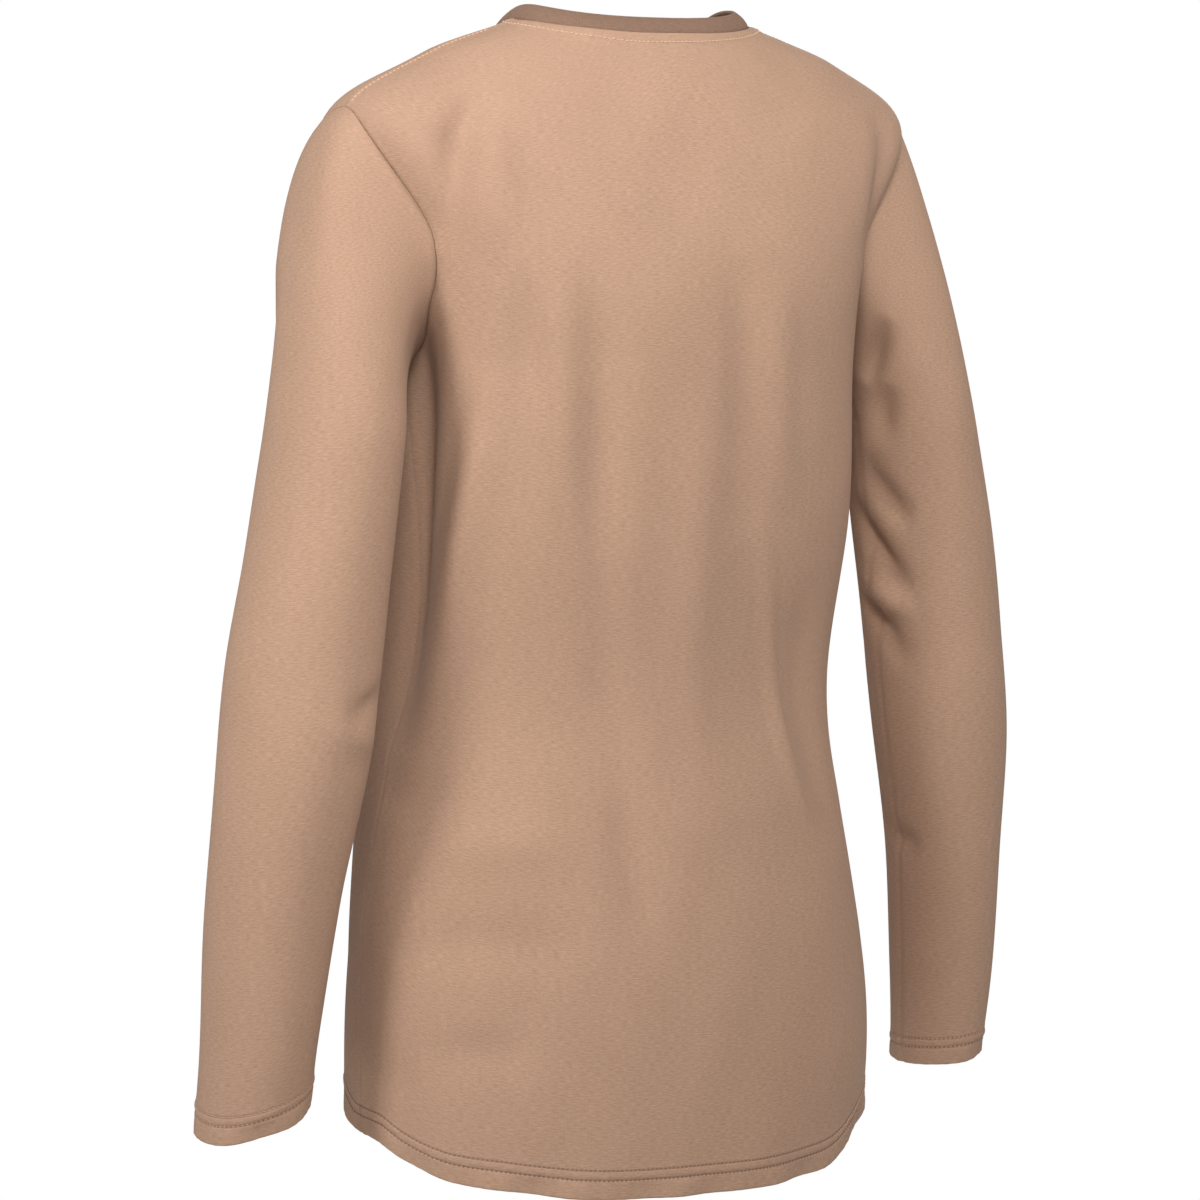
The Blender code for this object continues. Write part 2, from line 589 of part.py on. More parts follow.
def sleeve_place(arm, side, start, arm_turn, along):
    """Point of a sleeve, x outwards: along 0 to 1 is the cap, then 1 more for each ring below."""
    seam, way = armhole_start(arm_turn, side, start)
    under = (1 - np.cos(np.radians(arm_turn))) / 2
    first = arm_ring(arm, arm_turn, np.zeros(np.shape(along)))
    soon = arm_ring(arm, arm_turn, np.full(np.shape(along), RUNG_STEP))
    reach = np.linalg.norm(first - seam, axis=-1, keepdims=True)
    u = np.clip(along, 0, 1)[..., None]
    leave = way * reach * (start["pull"] + (1 - start["pull"]) * under[..., None])
    arrive = unit(soon - first) * reach
    cap = ((1 + 2 * u) * (1 - u) ** 2 * seam + u * (1 - u) ** 2 * leave
           + u ** 2 * (3 - 2 * u) * first + u ** 2 * (u - 1) * arrive)
    lower = arm_ring(arm, arm_turn, np.clip(along - 1, 0, len(arm) - 1))
    return np.where(u < 1, cap, lower)


def make_sleeve(name, side, arm, start, folds, material):
    place = partial(sleeve_place, arm, side, dict(zip(SLEEVE_START_COLUMNS, start)))
    back_turns = panel_arm_turns(False)[:0:-1]
    front_turns = panel_arm_turns(True)[:-1]
    arm_turns = np.concatenate([back_turns, front_turns])
    cuff_top = len(arm) - CUFF_DEPTH / (arm[-2][0] - arm[-1][0])
    rows = np.concatenate([np.linspace(0, 1, CAP_ROWS + 1),
                           np.linspace(1, cuff_top, ARM_ROWS + 1)[1:], [len(arm)]])
    turns = arm_turns[:, None] * np.ones(len(rows))
    alongs = np.ones(turns.shape) * rows
    outer = place(turns, alongs)
    facing = grid_normals(outer, around=True)
    depth = fold_depth(folds, place, outer) * np.clip(alongs / CAP_PLAIN, 0, 1)
    outer = outer + facing * depth[..., None]
    facing = grid_normals(outer, around=True)
    walls = np.full(turns.shape, WALL)
    walls[:, -2:] = HEM_WALL
    inner = outer - facing * walls[..., None]
    mirror = np.array([side, 1, 1])
    cells = np.ones((turns.shape[0], turns.shape[1] - 1), bool)
    return wall_object(name, outer * mirror, inner * mirror, cells, material, around=True)


# ---- the shirt ----------------------------------------------------------------------------------
def make_material(name, colour, roughness):
    material = bpy.data.materials.new(name)
    material.use_nodes = True
    shader = material.node_tree.nodes["Principled BSDF"]
    shader.inputs["Base Color"].default_value = colour
    shader.inputs["Roughness"].default_value = roughness
    shader.inputs["Metallic"].default_value = 0.0
    material.diffuse_color = colour
    return material


def main():
    for old in list(bpy.data.objects):
        bpy.data.objects.remove(old, do_unlink=True)
    make_panel("back", False, make_material("cloth_back", TAN, 0.9))
    make_panel("front", True, make_material("cloth_front", TAN, 0.9))
    make_sleeve("sleeve_left", 1, LEFT_ARM, LEFT_SLEEVE_START, LEFT_SLEEVE_FOLDS,
                make_material("cloth_sleeve_left", TAN, 0.9))
    make_sleeve("sleeve_right", -1, RIGHT_ARM, RIGHT_SLEEVE_START, RIGHT_SLEEVE_FOLDS,
                make_material("cloth_sleeve_right", TAN, 0.9))
    make_neck_band(make_material("rib", TAN_RIB, 0.9))
    over_lift = SEAM_GAP * 1.4
    edge = SLIT_WIDTH / 2
    half = PLACKET_WIDTH / 2
    make_placket("placket_over", (half, edge, 0.0, -edge, -half), 0, over_lift, STRIP_WALL,
                 make_material("cloth_placket_over", TAN, 0.9))
    inside = edge - SEAM_GAP
    make_placket("placket_under", (inside, 0.0, -inside), 1, -WALL, WALL,
                 make_material("cloth_placket_under", TAN, 0.9))
    button_material = make_material("button", BUTTON_TAN, 0.35)
    for number, drop in enumerate(BUTTON_DROPS, start=1):
        make_button(f"button_{number}", drop, over_lift + STRIP_WALL + SEAM_GAP * 1.3, button_material)


main()
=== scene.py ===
import math

import bpy
import numpy as np
from mathutils import Matrix, Vector


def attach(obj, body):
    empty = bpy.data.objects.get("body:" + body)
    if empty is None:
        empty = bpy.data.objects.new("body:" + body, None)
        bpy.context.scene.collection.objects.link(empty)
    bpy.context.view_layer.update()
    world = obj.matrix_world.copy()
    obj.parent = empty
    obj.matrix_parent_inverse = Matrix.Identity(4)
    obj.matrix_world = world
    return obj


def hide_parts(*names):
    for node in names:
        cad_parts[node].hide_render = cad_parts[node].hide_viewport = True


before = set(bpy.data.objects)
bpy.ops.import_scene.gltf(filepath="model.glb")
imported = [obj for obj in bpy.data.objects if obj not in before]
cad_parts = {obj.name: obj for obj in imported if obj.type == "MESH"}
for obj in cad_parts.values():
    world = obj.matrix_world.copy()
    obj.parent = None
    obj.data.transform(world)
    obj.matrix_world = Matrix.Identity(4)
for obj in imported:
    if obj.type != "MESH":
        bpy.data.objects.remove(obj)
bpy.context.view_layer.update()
fine = 1.0

# lengths are in metres where nothing else is said
clothCut = {"wall": 0.0012, "gap": 0.00008, "ripple": 0.00035}

# body rings from below the hem to the neck: half width, sideways lean, middle, reach back and front, heights
ringColumns = ("half", "lean", "mid", "back", "front", "sideZ", "backZ", "frontZ", "square")
rings = (
    (0.162, 0.005, 0.0, 0.108, -0.11, -0.72, -0.72, -0.72, 2.15),
    (0.172, 0.0035, 0.0, 0.108, -0.11, -0.64, -0.64, -0.64, 2.15),
    (0.168, 0.004, 0.0, 0.104, -0.108, -0.56, -0.56, -0.56, 2.15),
    (0.156, 0.006, 0.0, 0.094, -0.102, -0.48, -0.48, -0.48, 2.15),
    (0.146, 0.004, 0.0, 0.084, -0.098, -0.4, -0.4, -0.4, 2.15),
    (0.1535, 0.0, 0.0, 0.098, -0.108, -0.3, -0.3, -0.3, 2.2),
    (0.153, 0.001, 0.0, 0.108, -0.118, -0.2, -0.2, -0.2, 2.3),
    (0.1575, 0.002, 0.0, 0.106, -0.114, -0.13, -0.145, -0.165, 2.7),
    (0.19, 0.0, 0.006, 0.092, -0.102, -0.0595, -0.085, -0.125, 2.4),
    (0.137, -0.002, 0.013, 0.08, -0.091, -0.0225, -0.045, -0.103, 2.2),
    (0.0785, 0.003, 0.018, 0.063, -0.078, -0.0025, -0.01, -0.085, 2.5),
)
ringSpacing = 0.08
armpitRung = 6.0
shoulderRung = 8.1
neckRung = 10.0
# turn round the body, height of the hem's edge
hemCurve = ((-180, -0.688), (-154, -0.6845), (-138, -0.675), (-126, -0.664), (-114, -0.6545),
            (-104, -0.6515), (-96, -0.654), (-86, -0.659), (-70, -0.668), (-60, -0.6735),
            (-50, -0.6825), (-40, -0.693), (-26, -0.697), (0, -0.6962), (26, -0.6925), (42, -0.6865),
            (58, -0.681), (70, -0.672), (78, -0.664), (86, -0.662), (94, -0.6605), (102, -0.6545),
            (108, -0.651), (114, -0.6505), (124, -0.662), (138, -0.6745), (154, -0.684),
            (180, -0.688))
armholeSpread = {"back": 27.5, "front": 28.0}
seamArmTurn = 5.0
sleeveStart = {1: {"out": 1.0, "down": 0.72, "pull": 0.6}, -1: {"out": 0.42, "down": 0.88, "pull": 0.5}}

# arm sections below the cap, shoulder to cuff; fallX and fallY tilt a section
armColumns = ("height", "x", "y", "halfX", "halfY", "fallX", "fallY")
leftArm = (
    (-0.25, 0.2016, 0.021, 0.0395, 0.05, 0.1, 0.0),
    (-0.31, 0.2097, 0.019, 0.0425, 0.049, 0.1, 0.0),
    (-0.37, 0.2196, 0.02, 0.0459, 0.047, 0.1, 0.0),
    (-0.44, 0.2275, 0.019, 0.0448, 0.046, 0.1, 0.0),
    (-0.52, 0.2365, 0.01, 0.0392, 0.042, 0.2, 0.05),
    (-0.6, 0.2418, 0.001, 0.0345, 0.038, 0.28, 0.1),
    (-0.6435, 0.2435, -0.005, 0.0343, 0.035, 0.32, 0.12),
)
rightArm = (
    (-0.25, 0.202, 0.02, 0.039, 0.05, 0.1, 0.0),
    (-0.31, 0.212, 0.019, 0.0425, 0.048, 0.1, 0.0),
    (-0.37, 0.2196, 0.02, 0.0428, 0.046, 0.05, 0.0),
    (-0.44, 0.2275, 0.019, 0.0419, 0.044, 0.0, 0.0),
    (-0.52, 0.2365, 0.01, 0.0342, 0.041, 0.0, 0.0),
    (-0.6, 0.2418, 0.001, 0.0307, 0.037, -0.05, -0.03),
    (-0.656, 0.243, -0.005, 0.0272, 0.034, -0.08, -0.04),
)

# creases: turn and rung of the start, middle and end, then depth and half width in millimetres
bodyCreases = (
    (53, 8.75, 46, 7.9, 62, 6.95, -9.5, 11),
    (40, 8.3, 39, 7.6, 49, 6.9, 3.5, 12),
    (-54, 8.45, -50, 7.67, -60, 6.85, -6.5, 13),
    (75, 6.5, 83, 5.2, 91, 3.6, -24, 21.5),
    (110, 5.2, 113, 3.8, 110, 2.0, 8, 28),
    (77, 3.3, 75, 2.3, 76, 1.2, 7, 29),
    (40, 7.01, 42, 6.13, 41, 5.53, -3.5, 11),
    (32, 7.12, 34, 5.88, 31, 5.0, 3.2, 12),
    (25, 7.22, 24, 5.38, 17, 3.77, -4.5, 14),
    (17, 4.0, 14, 3.0, 11, 2.0, -3.5, 15),
    (-9, 7.08, -10, 5.77, -13, 4.9, -4.5, 13),
    (-20, 6.99, -21, 5.83, -24, 5.05, 3.2, 12),
    (3, 5.77, -2, 4.61, -6, 3.25, 3.8, 17),
    (48, 5.9, 61, 4.8, 74, 3.2, 6.5, 14),
    (57, 5.85, 65, 5.1, 74, 4.2, -4, 10),
    (-36, 4.7, -42, 3.7, -54, 2.7, -5.5, 16),
    (-16, 5.1, -28, 3.95, -38, 2.75, 4.2, 7),
    (72, 2.05, 50, 2.25, 22, 2.1, -2.8, 15),
    (60, 2.75, 42, 2.95, 24, 2.8, 2.5, 15),
    (62, 1.3, 48, 1.45, 34, 1.4, -2.6, 13),
    (124, 7.5, 128, 6.92, 140, 6.15, -5.8, 12),
    (-122, 7.54, -127, 6.91, -143, 6.25, -5.2, 13),
    (156, 6.17, 153, 5.19, 157, 4.21, -4.5, 14),
    (143, 6.0, 140, 5.0, 130, 3.77, 4, 15),
    (-148, 6.08, -150, 5.0, -156, 3.89, -4.5, 15),
    (-134, 5.88, -130, 4.9, -118, 3.65, 4.5, 16),
    (104, 4.42, 122, 3.95, 146, 3.71, -4.5, 15),
    (-101, 4.26, -120, 3.89, -140, 3.52, -4.3, 16),
    (166, 3.77, 160, 2.62, 164, 1.38, -3.5, 16),
    (-162, 3.25, -168, 2.25, -166, 1.12, 3.5, 16),
)
leftCreases = (
    (158, 3.39, 125, 3.46, 98, 3.54, -3.8, 8),
    (150, 3.75, 112, 3.7, 80, 3.42, 2.6, 8),
    (215, 1.89, 190, 2.27, 165, 2.42, -4.2, 9),
    (300, 2.56, 268, 2.85, 225, 2.73, -4.7, 9),
    (295, 3.0, 262, 3.16, 220, 3.12, 3.2, 9),
    (292, 3.45, 258, 3.43, 215, 3.64, -3.7, 9),
    (330, 0.51, 320, 0.72, 300, 0.98, -3.5, 12),
    (250, 5.06, 220, 5.23, 185, 5.16, -2.8, 9),
)
rightCreases = (
    (108, 0.34, 133, 0.37, 156, 0.5, -7, 8.5),
    (136, 0.62, 151, 0.86, 157, 1.22, -4.5, 9),
    (176, 1.33, 153, 1.77, 132, 1.95, -5.7, 8.5),
    (200, 1.74, 171, 2.27, 138, 2.75, -8.4, 8.5),
    (206, 2.51, 164, 2.82, 138, 2.84, 4.3, 7.5),
    (208, 2.8, 177, 2.98, 148, 3.46, -6.3, 9),
    (200, 4.85, 172, 4.88, 150, 4.92, -4.1, 7.5),
    (300, 2.48, 266, 2.71, 222, 2.64, -5.7, 9),
    (296, 3.29, 258, 3.21, 216, 3.4, -5, 9),
    (334, 0.56, 322, 0.75, 304, 0.96, -4.7, 12),
)


# forms
def finer(count):
    return int(count * fine)


def between(low, high, share):
    return low + (high - low) * share


def hermite(u, start, leave, end, arrive):
    return ((1 + 2 * u) * (1 - u) ** 2 * start + u * (1 - u) ** 2 * leave
            + u ** 2 * (3 - 2 * u) * end + u ** 2 * (u - 1) * arrive)


def columnOf(table, columns, name):
    return np.array([row[columns.index(name)] for row in table], float)


def curveThrough(knots, values, at):
    knots = np.asarray(knots, float)
    values = np.asarray(values, float)
    slopes = np.gradient(values, knots)
    at = np.clip(np.asarray(at, float), knots[0], knots[-1])
    i = np.clip(np.searchsorted(knots, at, side="right") - 1, 0, len(knots) - 2)
    span = knots[i + 1] - knots[i]
    u = (at - knots[i]) / span
    return hermite(u, values[i], span * slopes[i], values[i + 1], span * slopes[i + 1])


def ringValue(name, rung):
    values = columnOf(rings, ringColumns, name)
    return curveThrough(np.arange(len(values)), values, rung)


def unit(vectors):
    return vectors / np.linalg.norm(vectors, axis=-1, keepdims=True)


def ringPlace(turn, rung):
    angle = np.radians(turn)
    sine = np.sin(angle)
    cosine = np.cos(angle)
    square = ringValue("square", rung)
    radius = (np.abs(sine) ** square + np.abs(cosine) ** square) ** (-1 / square)
    share = radius * np.abs(cosine)
    behind = cosine > 0
    mid = ringValue("mid", rung)
    sideZ = ringValue("sideZ", rung)
    across = ringValue("lean", rung) + ringValue("half", rung) * radius * sine
    centreY = np.where(behind, ringValue("back", rung), ringValue("front", rung))
    centreZ = np.where(behind, ringValue("backZ", rung), ringValue("frontZ", rung))
    return np.stack([across, between(mid, centreY, share), between(sideZ, centreZ, share ** 2)], axis=-1)


def normalOf(place, turn, rung, turnStep, rungStep):
    across = place(turn + turnStep, rung) - place(turn - turnStep, rung)
    higher = place(turn, np.clip(rung + rungStep, 0, neckRung))
    lower = place(turn, np.clip(rung - rungStep, 0, neckRung))
    return unit(np.cross(higher - lower, across))


def ringNormal(turn, rung):
    return normalOf(ringPlace, turn, rung, 0.6, 0.02)


def creaseDepth(table, place, points):
    total = np.zeros(points.shape[:-1])
    share = np.linspace(0, 1, 17)
    for row in table:
        ends = np.array([row[0:2], row[2:4], row[4:6]], float)
        pull = 2 * ends[1] - (ends[0] + ends[2]) / 2
        turn, rung = (np.outer(ends[0], (1 - share) ** 2) + np.outer(pull, 2 * share * (1 - share))
                      + np.outer(ends[2], share ** 2))
        path = place(turn, rung)
        depth, width = np.array(row[6:]) / 1000
        reach = 3.2 * width
        near = np.all((points > path.min(0) - reach) & (points < path.max(0) + reach), axis=-1)
        spots = points[near]
        nearest = np.full(len(spots), np.inf)
        along = np.zeros(len(spots))
        for k in range(len(path) - 1):
            leg = path[k + 1] - path[k]
            t = np.clip((spots - path[k]) @ leg / (leg @ leg), 0, 1)
            gap = np.linalg.norm(spots - path[k] - t[:, None] * leg, axis=-1)
            closer = gap < nearest
            nearest = np.where(closer, gap, nearest)
            along = np.where(closer, (k + t) / (len(path) - 1), along)
        total[near] += depth * np.sin(math.pi * along) ** 1.1 * np.exp(-(nearest / width) ** 2)
    return total


def ripple(points, seed):
    # shallow unevenness of hung cloth, the same every run
    x, y, z = points[..., 0], points[..., 1], points[..., 2]
    wave = np.sin(61 * x + 23 * z + seed) * np.sin(47 * y - 31 * z + 1.7 * seed)
    wave = wave + 0.6 * np.sin(113 * x - 71 * y + 37 * z + 2.3 * seed)
    return clothCut["ripple"] * wave


def bodyPlace(turn, rung):
    plain = ringPlace(turn, rung)
    lift = creaseDepth(bodyCreases, ringPlace, plain) + ripple(plain, 0.4)
    return plain + ringNormal(turn, rung) * lift[..., None]


def bodyNormal(turn, rung):
    return normalOf(bodyPlace, turn, rung, 0.5, 0.015)


def armholePlace(armTurn):
    angle = np.radians(armTurn)
    spread = np.where(np.sin(angle) > 0, armholeSpread["back"], armholeSpread["front"])
    climb = np.interp((armTurn - seamArmTurn) % 360, (0, 180 - seamArmTurn, 360), (0, 180, 360))
    swing = (shoulderRung - armpitRung) / 2
    return 90 - spread * np.sin(angle), armpitRung + swing * (1 + np.cos(np.radians(climb)))


def hemRung(turn):
    height = curveThrough([row[0] for row in hemCurve], [row[1] for row in hemCurve], turn)
    rungs = np.linspace(0, 3, 301)
    return np.interp(height, ringValue("sideZ", rungs), rungs)


def gridNormals(points, around=False):
    if around:
        across = np.roll(points, -1, axis=0) - np.roll(points, 1, axis=0)
    else:
        across = np.gradient(points, axis=0)
    return unit(np.cross(np.gradient(points, axis=1), across))


panelCut = {
    "armRows": 56, "shoulderRows": 34, "bodyRows": 96, "columns": 66, "crowding": 0.75, "slit": 0.022,
    "slitColumn": 4, "seamSink": 0.0002, "seamSwell": 0.0002, "neckSink": 0.0006, "neckStrip": 0.0072,
    "neckStripBack": 0.0009, "neckStripFront": 0.0004, "shoulderStrip": 0.0062, "shoulderRise": 0.0008,
    "groove": 0.0006, "grooveInset": 0.0012, "grooveWidth": 0.0007, "edgeSoft": 0.0004,
}
# distances above a hem's or cuff's edge where rows run, and columns beside a side seam
hemRows = np.array([0, 0.25, 0.7, 1.3, 2.2, 3.5, 5, 6.5, 8, 9.3, 10.3, 11.1, 11.8, 12.5, 13.3, 14.7, 16, 16.9,
                    17.6, 18.3, 19.2, 20.3, 21.6, 23.2]) / 1000
seamShares = 1 - np.array([9.5, 7, 6.2, 5.2, 4, 3, 2.1, 1.3, 0.6, 0]) / 235


def halfGrid(side, isFront):
    share = np.linspace(0, 1, finer(panelCut["armRows"]) + 1)
    share = share + panelCut["crowding"] * np.sin(2 * math.pi * share) / (2 * math.pi)
    armTurns = 180 + ((360 + seamArmTurn if isFront else seamArmTurn) - 180) * share
    edgeTurns, edgeRungs = armholePlace(armTurns)
    along = np.linspace(0, 1, finer(panelCut["shoulderRows"]) + 1)[1:]
    edgeTurns = np.concatenate([edgeTurns[1:], between(edgeTurns[-1], 90, along)])
    edgeRungs = np.concatenate([edgeRungs[1:], between(edgeRungs[-1], neckRung, along)])
    bodySteps = finer(panelCut["bodyRows"])
    edgeTurns = np.concatenate([np.full(len(hemRows) + bodySteps, 90.0), edgeTurns])
    shares = np.concatenate([np.linspace(0, seamShares[0], finer(panelCut["columns"])), seamShares[1:]])
    slitShare = shares[panelCut["slitColumn"]]
    centre = 180.0 if isFront else 0.0
    turns = []
    rungs = []
    for share in shares:
        low = hemRung(side * between(centre, 90.0, share))
        foot = low + hemRows / ringSpacing
        up = between(foot[-1], armpitRung, np.linspace(0, 1, bodySteps + 1)[1:])
        rungs.append(np.concatenate([foot, up, edgeRungs]))
        away = np.abs(edgeTurns - centre)
        if isFront:
            slit = np.degrees(np.arctan2(panelCut["slit"] / 2, ringValue("half", rungs[0])))
            if share <= slitShare:
                away = slit * share / slitShare
            else:
                away = between(slit, away, (share - slitShare) / (1 - slitShare))
        else:
            away = away * share
        turns.append(np.abs(centre - away) * side)
    return np.array(turns), np.array(rungs)


def panelGrid(isFront):
    right = halfGrid(-1, isFront)
    left = halfGrid(1, isFront)
    return [np.concatenate([a[::-1], b[1:]]) for a, b in zip(right, left)]


def runAlong(points, axis):
    steps = np.linalg.norm(np.diff(points, axis=axis), axis=-1)
    start = np.zeros(steps.shape[:axis] + (1,) + steps.shape[axis + 1:])
    return np.concatenate([start, np.cumsum(steps, axis=axis)], axis=axis)


def dent(distance, width):
    return np.exp(-(distance / width) ** 2)


def step(distance, at, soft):
    return 1 / (1 + np.exp(np.clip((distance - at) / soft, -40, 40)))


hemCut = {
    "wall": 0.0022, "foldHeight": 0.019, "wallHeight": 0.0195, "foldRise": 0.00035, "lowRow": 0.0118,
    "highRow": 0.0176, "lowSink": 0.0006, "highSink": 0.00055, "rowWidth": 0.0009, "swell": 0.00022,
    "pucker": 0.00016, "edgePucker": 0.00012, "wave": 0.001, "waveReach": 0.03,
    "puckerRuns": (0.0071, 0.0117), "waveRuns": (0.062, 0.037),
}


def hemRelief(fromEdge, runLength, seed):
    # turned-up cloth under two rows of stitches, slightly puckered between them
    quick, slow = [runLength * 2 * math.pi / run for run in hemCut["puckerRuns"]]
    pucker = np.sin(quick + 1.3 * np.sin(runLength * 97 + seed)) + 0.7 * np.sin(slow + seed)
    long, short = [runLength * 2 * math.pi / run for run in hemCut["waveRuns"]]
    wave = np.sin(long + seed) + 0.6 * np.sin(short + 2 * seed)
    low = dent(fromEdge - hemCut["lowRow"], hemCut["rowWidth"])
    high = dent(fromEdge - hemCut["highRow"], hemCut["rowWidth"])
    middle = dent(fromEdge - (hemCut["lowRow"] + hemCut["highRow"]) / 2, 0.003)
    below = step(fromEdge, hemCut["lowRow"] - 0.002, 0.001)
    wave = wave * np.clip(1 - fromEdge / hemCut["waveReach"], 0, 1)
    return (hemCut["foldRise"] * step(fromEdge, hemCut["foldHeight"], 0.0004) - hemCut["lowSink"] * low
            - hemCut["highSink"] * high + middle * (hemCut["swell"] + hemCut["pucker"] * pucker)
            + below * (hemCut["edgePucker"] * pucker + hemCut["wave"] * wave))


def hemThickness(fromEdge):
    return between(clothCut["wall"], hemCut["wall"], step(fromEdge, hemCut["wallHeight"], 0.0006))


def roundEdge(outer, normals, thick, fromEdge):
    # inner sheet, and the outer one rounded in towards the wall's middle at a folded edge
    radius = thick / 2
    near = np.clip(1 - fromEdge / radius, 0, 1)
    tuck = radius * (1 - np.sqrt(np.clip(1 - near ** 2, 0, 1)))
    tuck = np.minimum(tuck, radius * 0.97)
    inner = outer - normals * (thick - tuck)[..., None]
    return outer - normals * tuck[..., None], inner


# meshes
def wallPiece(name, outer, inner, clothRun, material, around=False, open=None):
    wide, high = outer.shape[:2]
    number = np.arange(wide * high).reshape(wide, high)
    nextColumn = np.roll(number, -1, axis=0)
    total = wide if around else wide - 1
    i, j = np.meshgrid(np.arange(total), np.arange(high - 1), indexing="ij")
    keep = np.ones(i.shape, bool) if open is None else ~open[:total, :high - 1]
    a, b = number[i, j][keep], nextColumn[i, j][keep]
    c, d = nextColumn[i, j + 1][keep], number[i, j + 1][keep]
    count = wide * high
    faces = [np.stack([a, b, c, d], axis=1), np.stack([d, c, b, a], axis=1) + count]
    padded = np.zeros((total + 2, high + 1), bool)
    padded[1:-1, 1:-1] = keep
    if around:
        padded[0] = padded[-2]
        padded[-1] = padded[1]
    # rims: where a neighbouring cell is missing, its edge is closed between the two sheets
    for shift, start, end in (((0, -1), (0, 0), (1, 0)), ((1, 0), (1, 0), (1, 1)),
                              ((0, 1), (1, 1), (0, 1)), ((-1, 0), (0, 1), (0, 0))):
        beside = padded[1 + shift[0]:1 + shift[0] + total, 1 + shift[1]:high + shift[1]]
        rim = keep & ~beside
        first = number[(i[rim] + start[0]) % wide, j[rim] + start[1]]
        last = number[(i[rim] + end[0]) % wide, j[rim] + end[1]]
        faces.append(np.stack([last, first, first + count, last + count], axis=1))
    faces = np.concatenate(faces)
    used = np.zeros(2 * count, bool)
    used[faces] = True
    renumber = np.cumsum(used) - 1
    places = np.concatenate([outer.reshape(-1, 3), inner.reshape(-1, 3)])[used]
    faces = renumber[faces]
    mesh = bpy.data.meshes.new(name)
    mesh.vertices.add(len(places))
    mesh.vertices.foreach_set("co", places.ravel())
    mesh.loops.add(faces.size)
    mesh.loops.foreach_set("vertex_index", faces.ravel())
    mesh.polygons.add(len(faces))
    mesh.polygons.foreach_set("loop_start", np.arange(len(faces)) * 4)
    mesh.polygons.foreach_set("loop_total", np.full(len(faces), 4))
    mesh.update(calc_edges=True)
    mesh.validate()
    flat = np.concatenate([clothRun.reshape(-1, 2)] * 2)[used]
    vertexOf = np.zeros(len(mesh.loops), int)
    mesh.loops.foreach_get("vertex_index", vertexOf)
    mesh.uv_layers.new(name="cloth").data.foreach_set("uv", flat[vertexOf].ravel())
    mesh.shade_smooth()
    mesh.set_sharp_from_angle(angle=math.radians(50))
    return placePiece(name, mesh, material)


def putIn(name, data):
    thing = bpy.data.objects.new(name, data)
    bpy.context.scene.collection.objects.link(thing)
    return thing


def placePiece(name, mesh, material):
    mesh.materials.append(material)
    return putIn(name, mesh)


def plainMesh(name, places, faces):
    mesh = bpy.data.meshes.new(name)
    mesh.from_pydata(places, [], faces)
    return mesh


def ringPoints(middle, beside, over, sides):
    turns = [2 * math.pi * s / sides for s in range(sides)]
    return [middle + beside * math.cos(turn) + over * math.sin(turn) for turn in turns]


def ringFaces(first, rows, sides):
    # quads between rings of points that follow one another
    faces = []
    for r in range(rows - 1):
        for s in range(sides):
            a = first + r * sides + s
            b = first + r * sides + (s + 1) % sides
            faces.append((a, b, b + sides, a + sides))
    return faces


def ringCaps(first, rows, sides):
    last = first + (rows - 1) * sides
    return [tuple(first + s for s in reversed(range(sides))), tuple(last + s for s in range(sides))]


def gridAt(grid, atI, atJ):
    i = np.clip(np.floor(atI).astype(int), 0, grid.shape[0] - 2)
    j = np.clip(np.floor(atJ).astype(int), 0, grid.shape[1] - 2)
    u = (atI - i)[:, None]
    v = (atJ - j)[:, None]
    low = grid[i, j] * (1 - u) + grid[i + 1, j] * u
    high = grid[i, j + 1] * (1 - u) + grid[i + 1, j + 1] * u
    return low * (1 - v) + high * v


stitchCut = {"pitch": 0.0028, "length": 0.0022, "width": 0.00055, "rise": 0.0002, "sides": 6}
stitchRings = ((-0.5, 0.25), (-0.38, 0.8), (0.0, 1.0), (0.38, 0.8), (0.5, 0.25))  # place along, girth


def alongRun(values, run, at):
    return np.stack([np.interp(at, run, values[:, k]) for k in range(3)], axis=1)


def stitchRow(paths, pitch, length, width, rise, sides):
    # paths: (points, normals) along the cloth; each stitch is a short thread lying in it
    places = []
    faces = []
    for points, normals in paths:
        run = runAlong(points, 0)
        count = max(int(run[-1] / pitch), 2)
        at = (np.arange(count) + 0.5) * run[-1] / count
        spot = alongRun(points, run, at)
        way = unit(alongRun(points, run, at + 0.0008) - alongRun(points, run, at - 0.0008))
        up = unit(alongRun(normals, run, at))
        beside = unit(np.cross(way, up))
        for k in range(count):
            first = len(places)
            for along, girth in stitchRings:
                middle = spot[k] + way[k] * along * length + up[k] * (rise * (girth - 0.75))
                places += ringPoints(middle, beside[k] * width / 2 * girth, up[k] * width / 2 * girth, sides)
            faces += ringFaces(first, len(stitchRings), sides) + ringCaps(first, len(stitchRings), sides)
    return places, faces


def sew(name, paths, slotName, material, **changed):
    places, faces = stitchRow(paths, **{**stitchCut, **changed})
    mesh = plainMesh(name, [tuple(place) for place in places], faces)
    mesh.shade_smooth()
    piece = placePiece(name, mesh, material)
    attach(piece, "root")


# materials
def fill(node, settings):
    for key, value in settings.items():
        if key in node.inputs:
            node.inputs[key].default_value = value
        else:
            setattr(node, key, value)
    return node


def nodeTools(name):
    material = bpy.data.materials.new(name)
    material.use_nodes = True
    tree = material.node_tree

    def add(kind, **settings):
        return fill(tree.nodes.new(kind), settings)

    return material, tree.nodes["Principled BSDF"], add, tree.links.new


def blend(add, join, share, first, second):
    mix = add("ShaderNodeMix", data_type="RGBA")
    for socket, given in ((0, share), (6, first), (7, second)):
        if isinstance(given, tuple):
            mix.inputs[socket].default_value = given
        else:
            join(given, mix.inputs[socket])
    return mix.outputs[2]


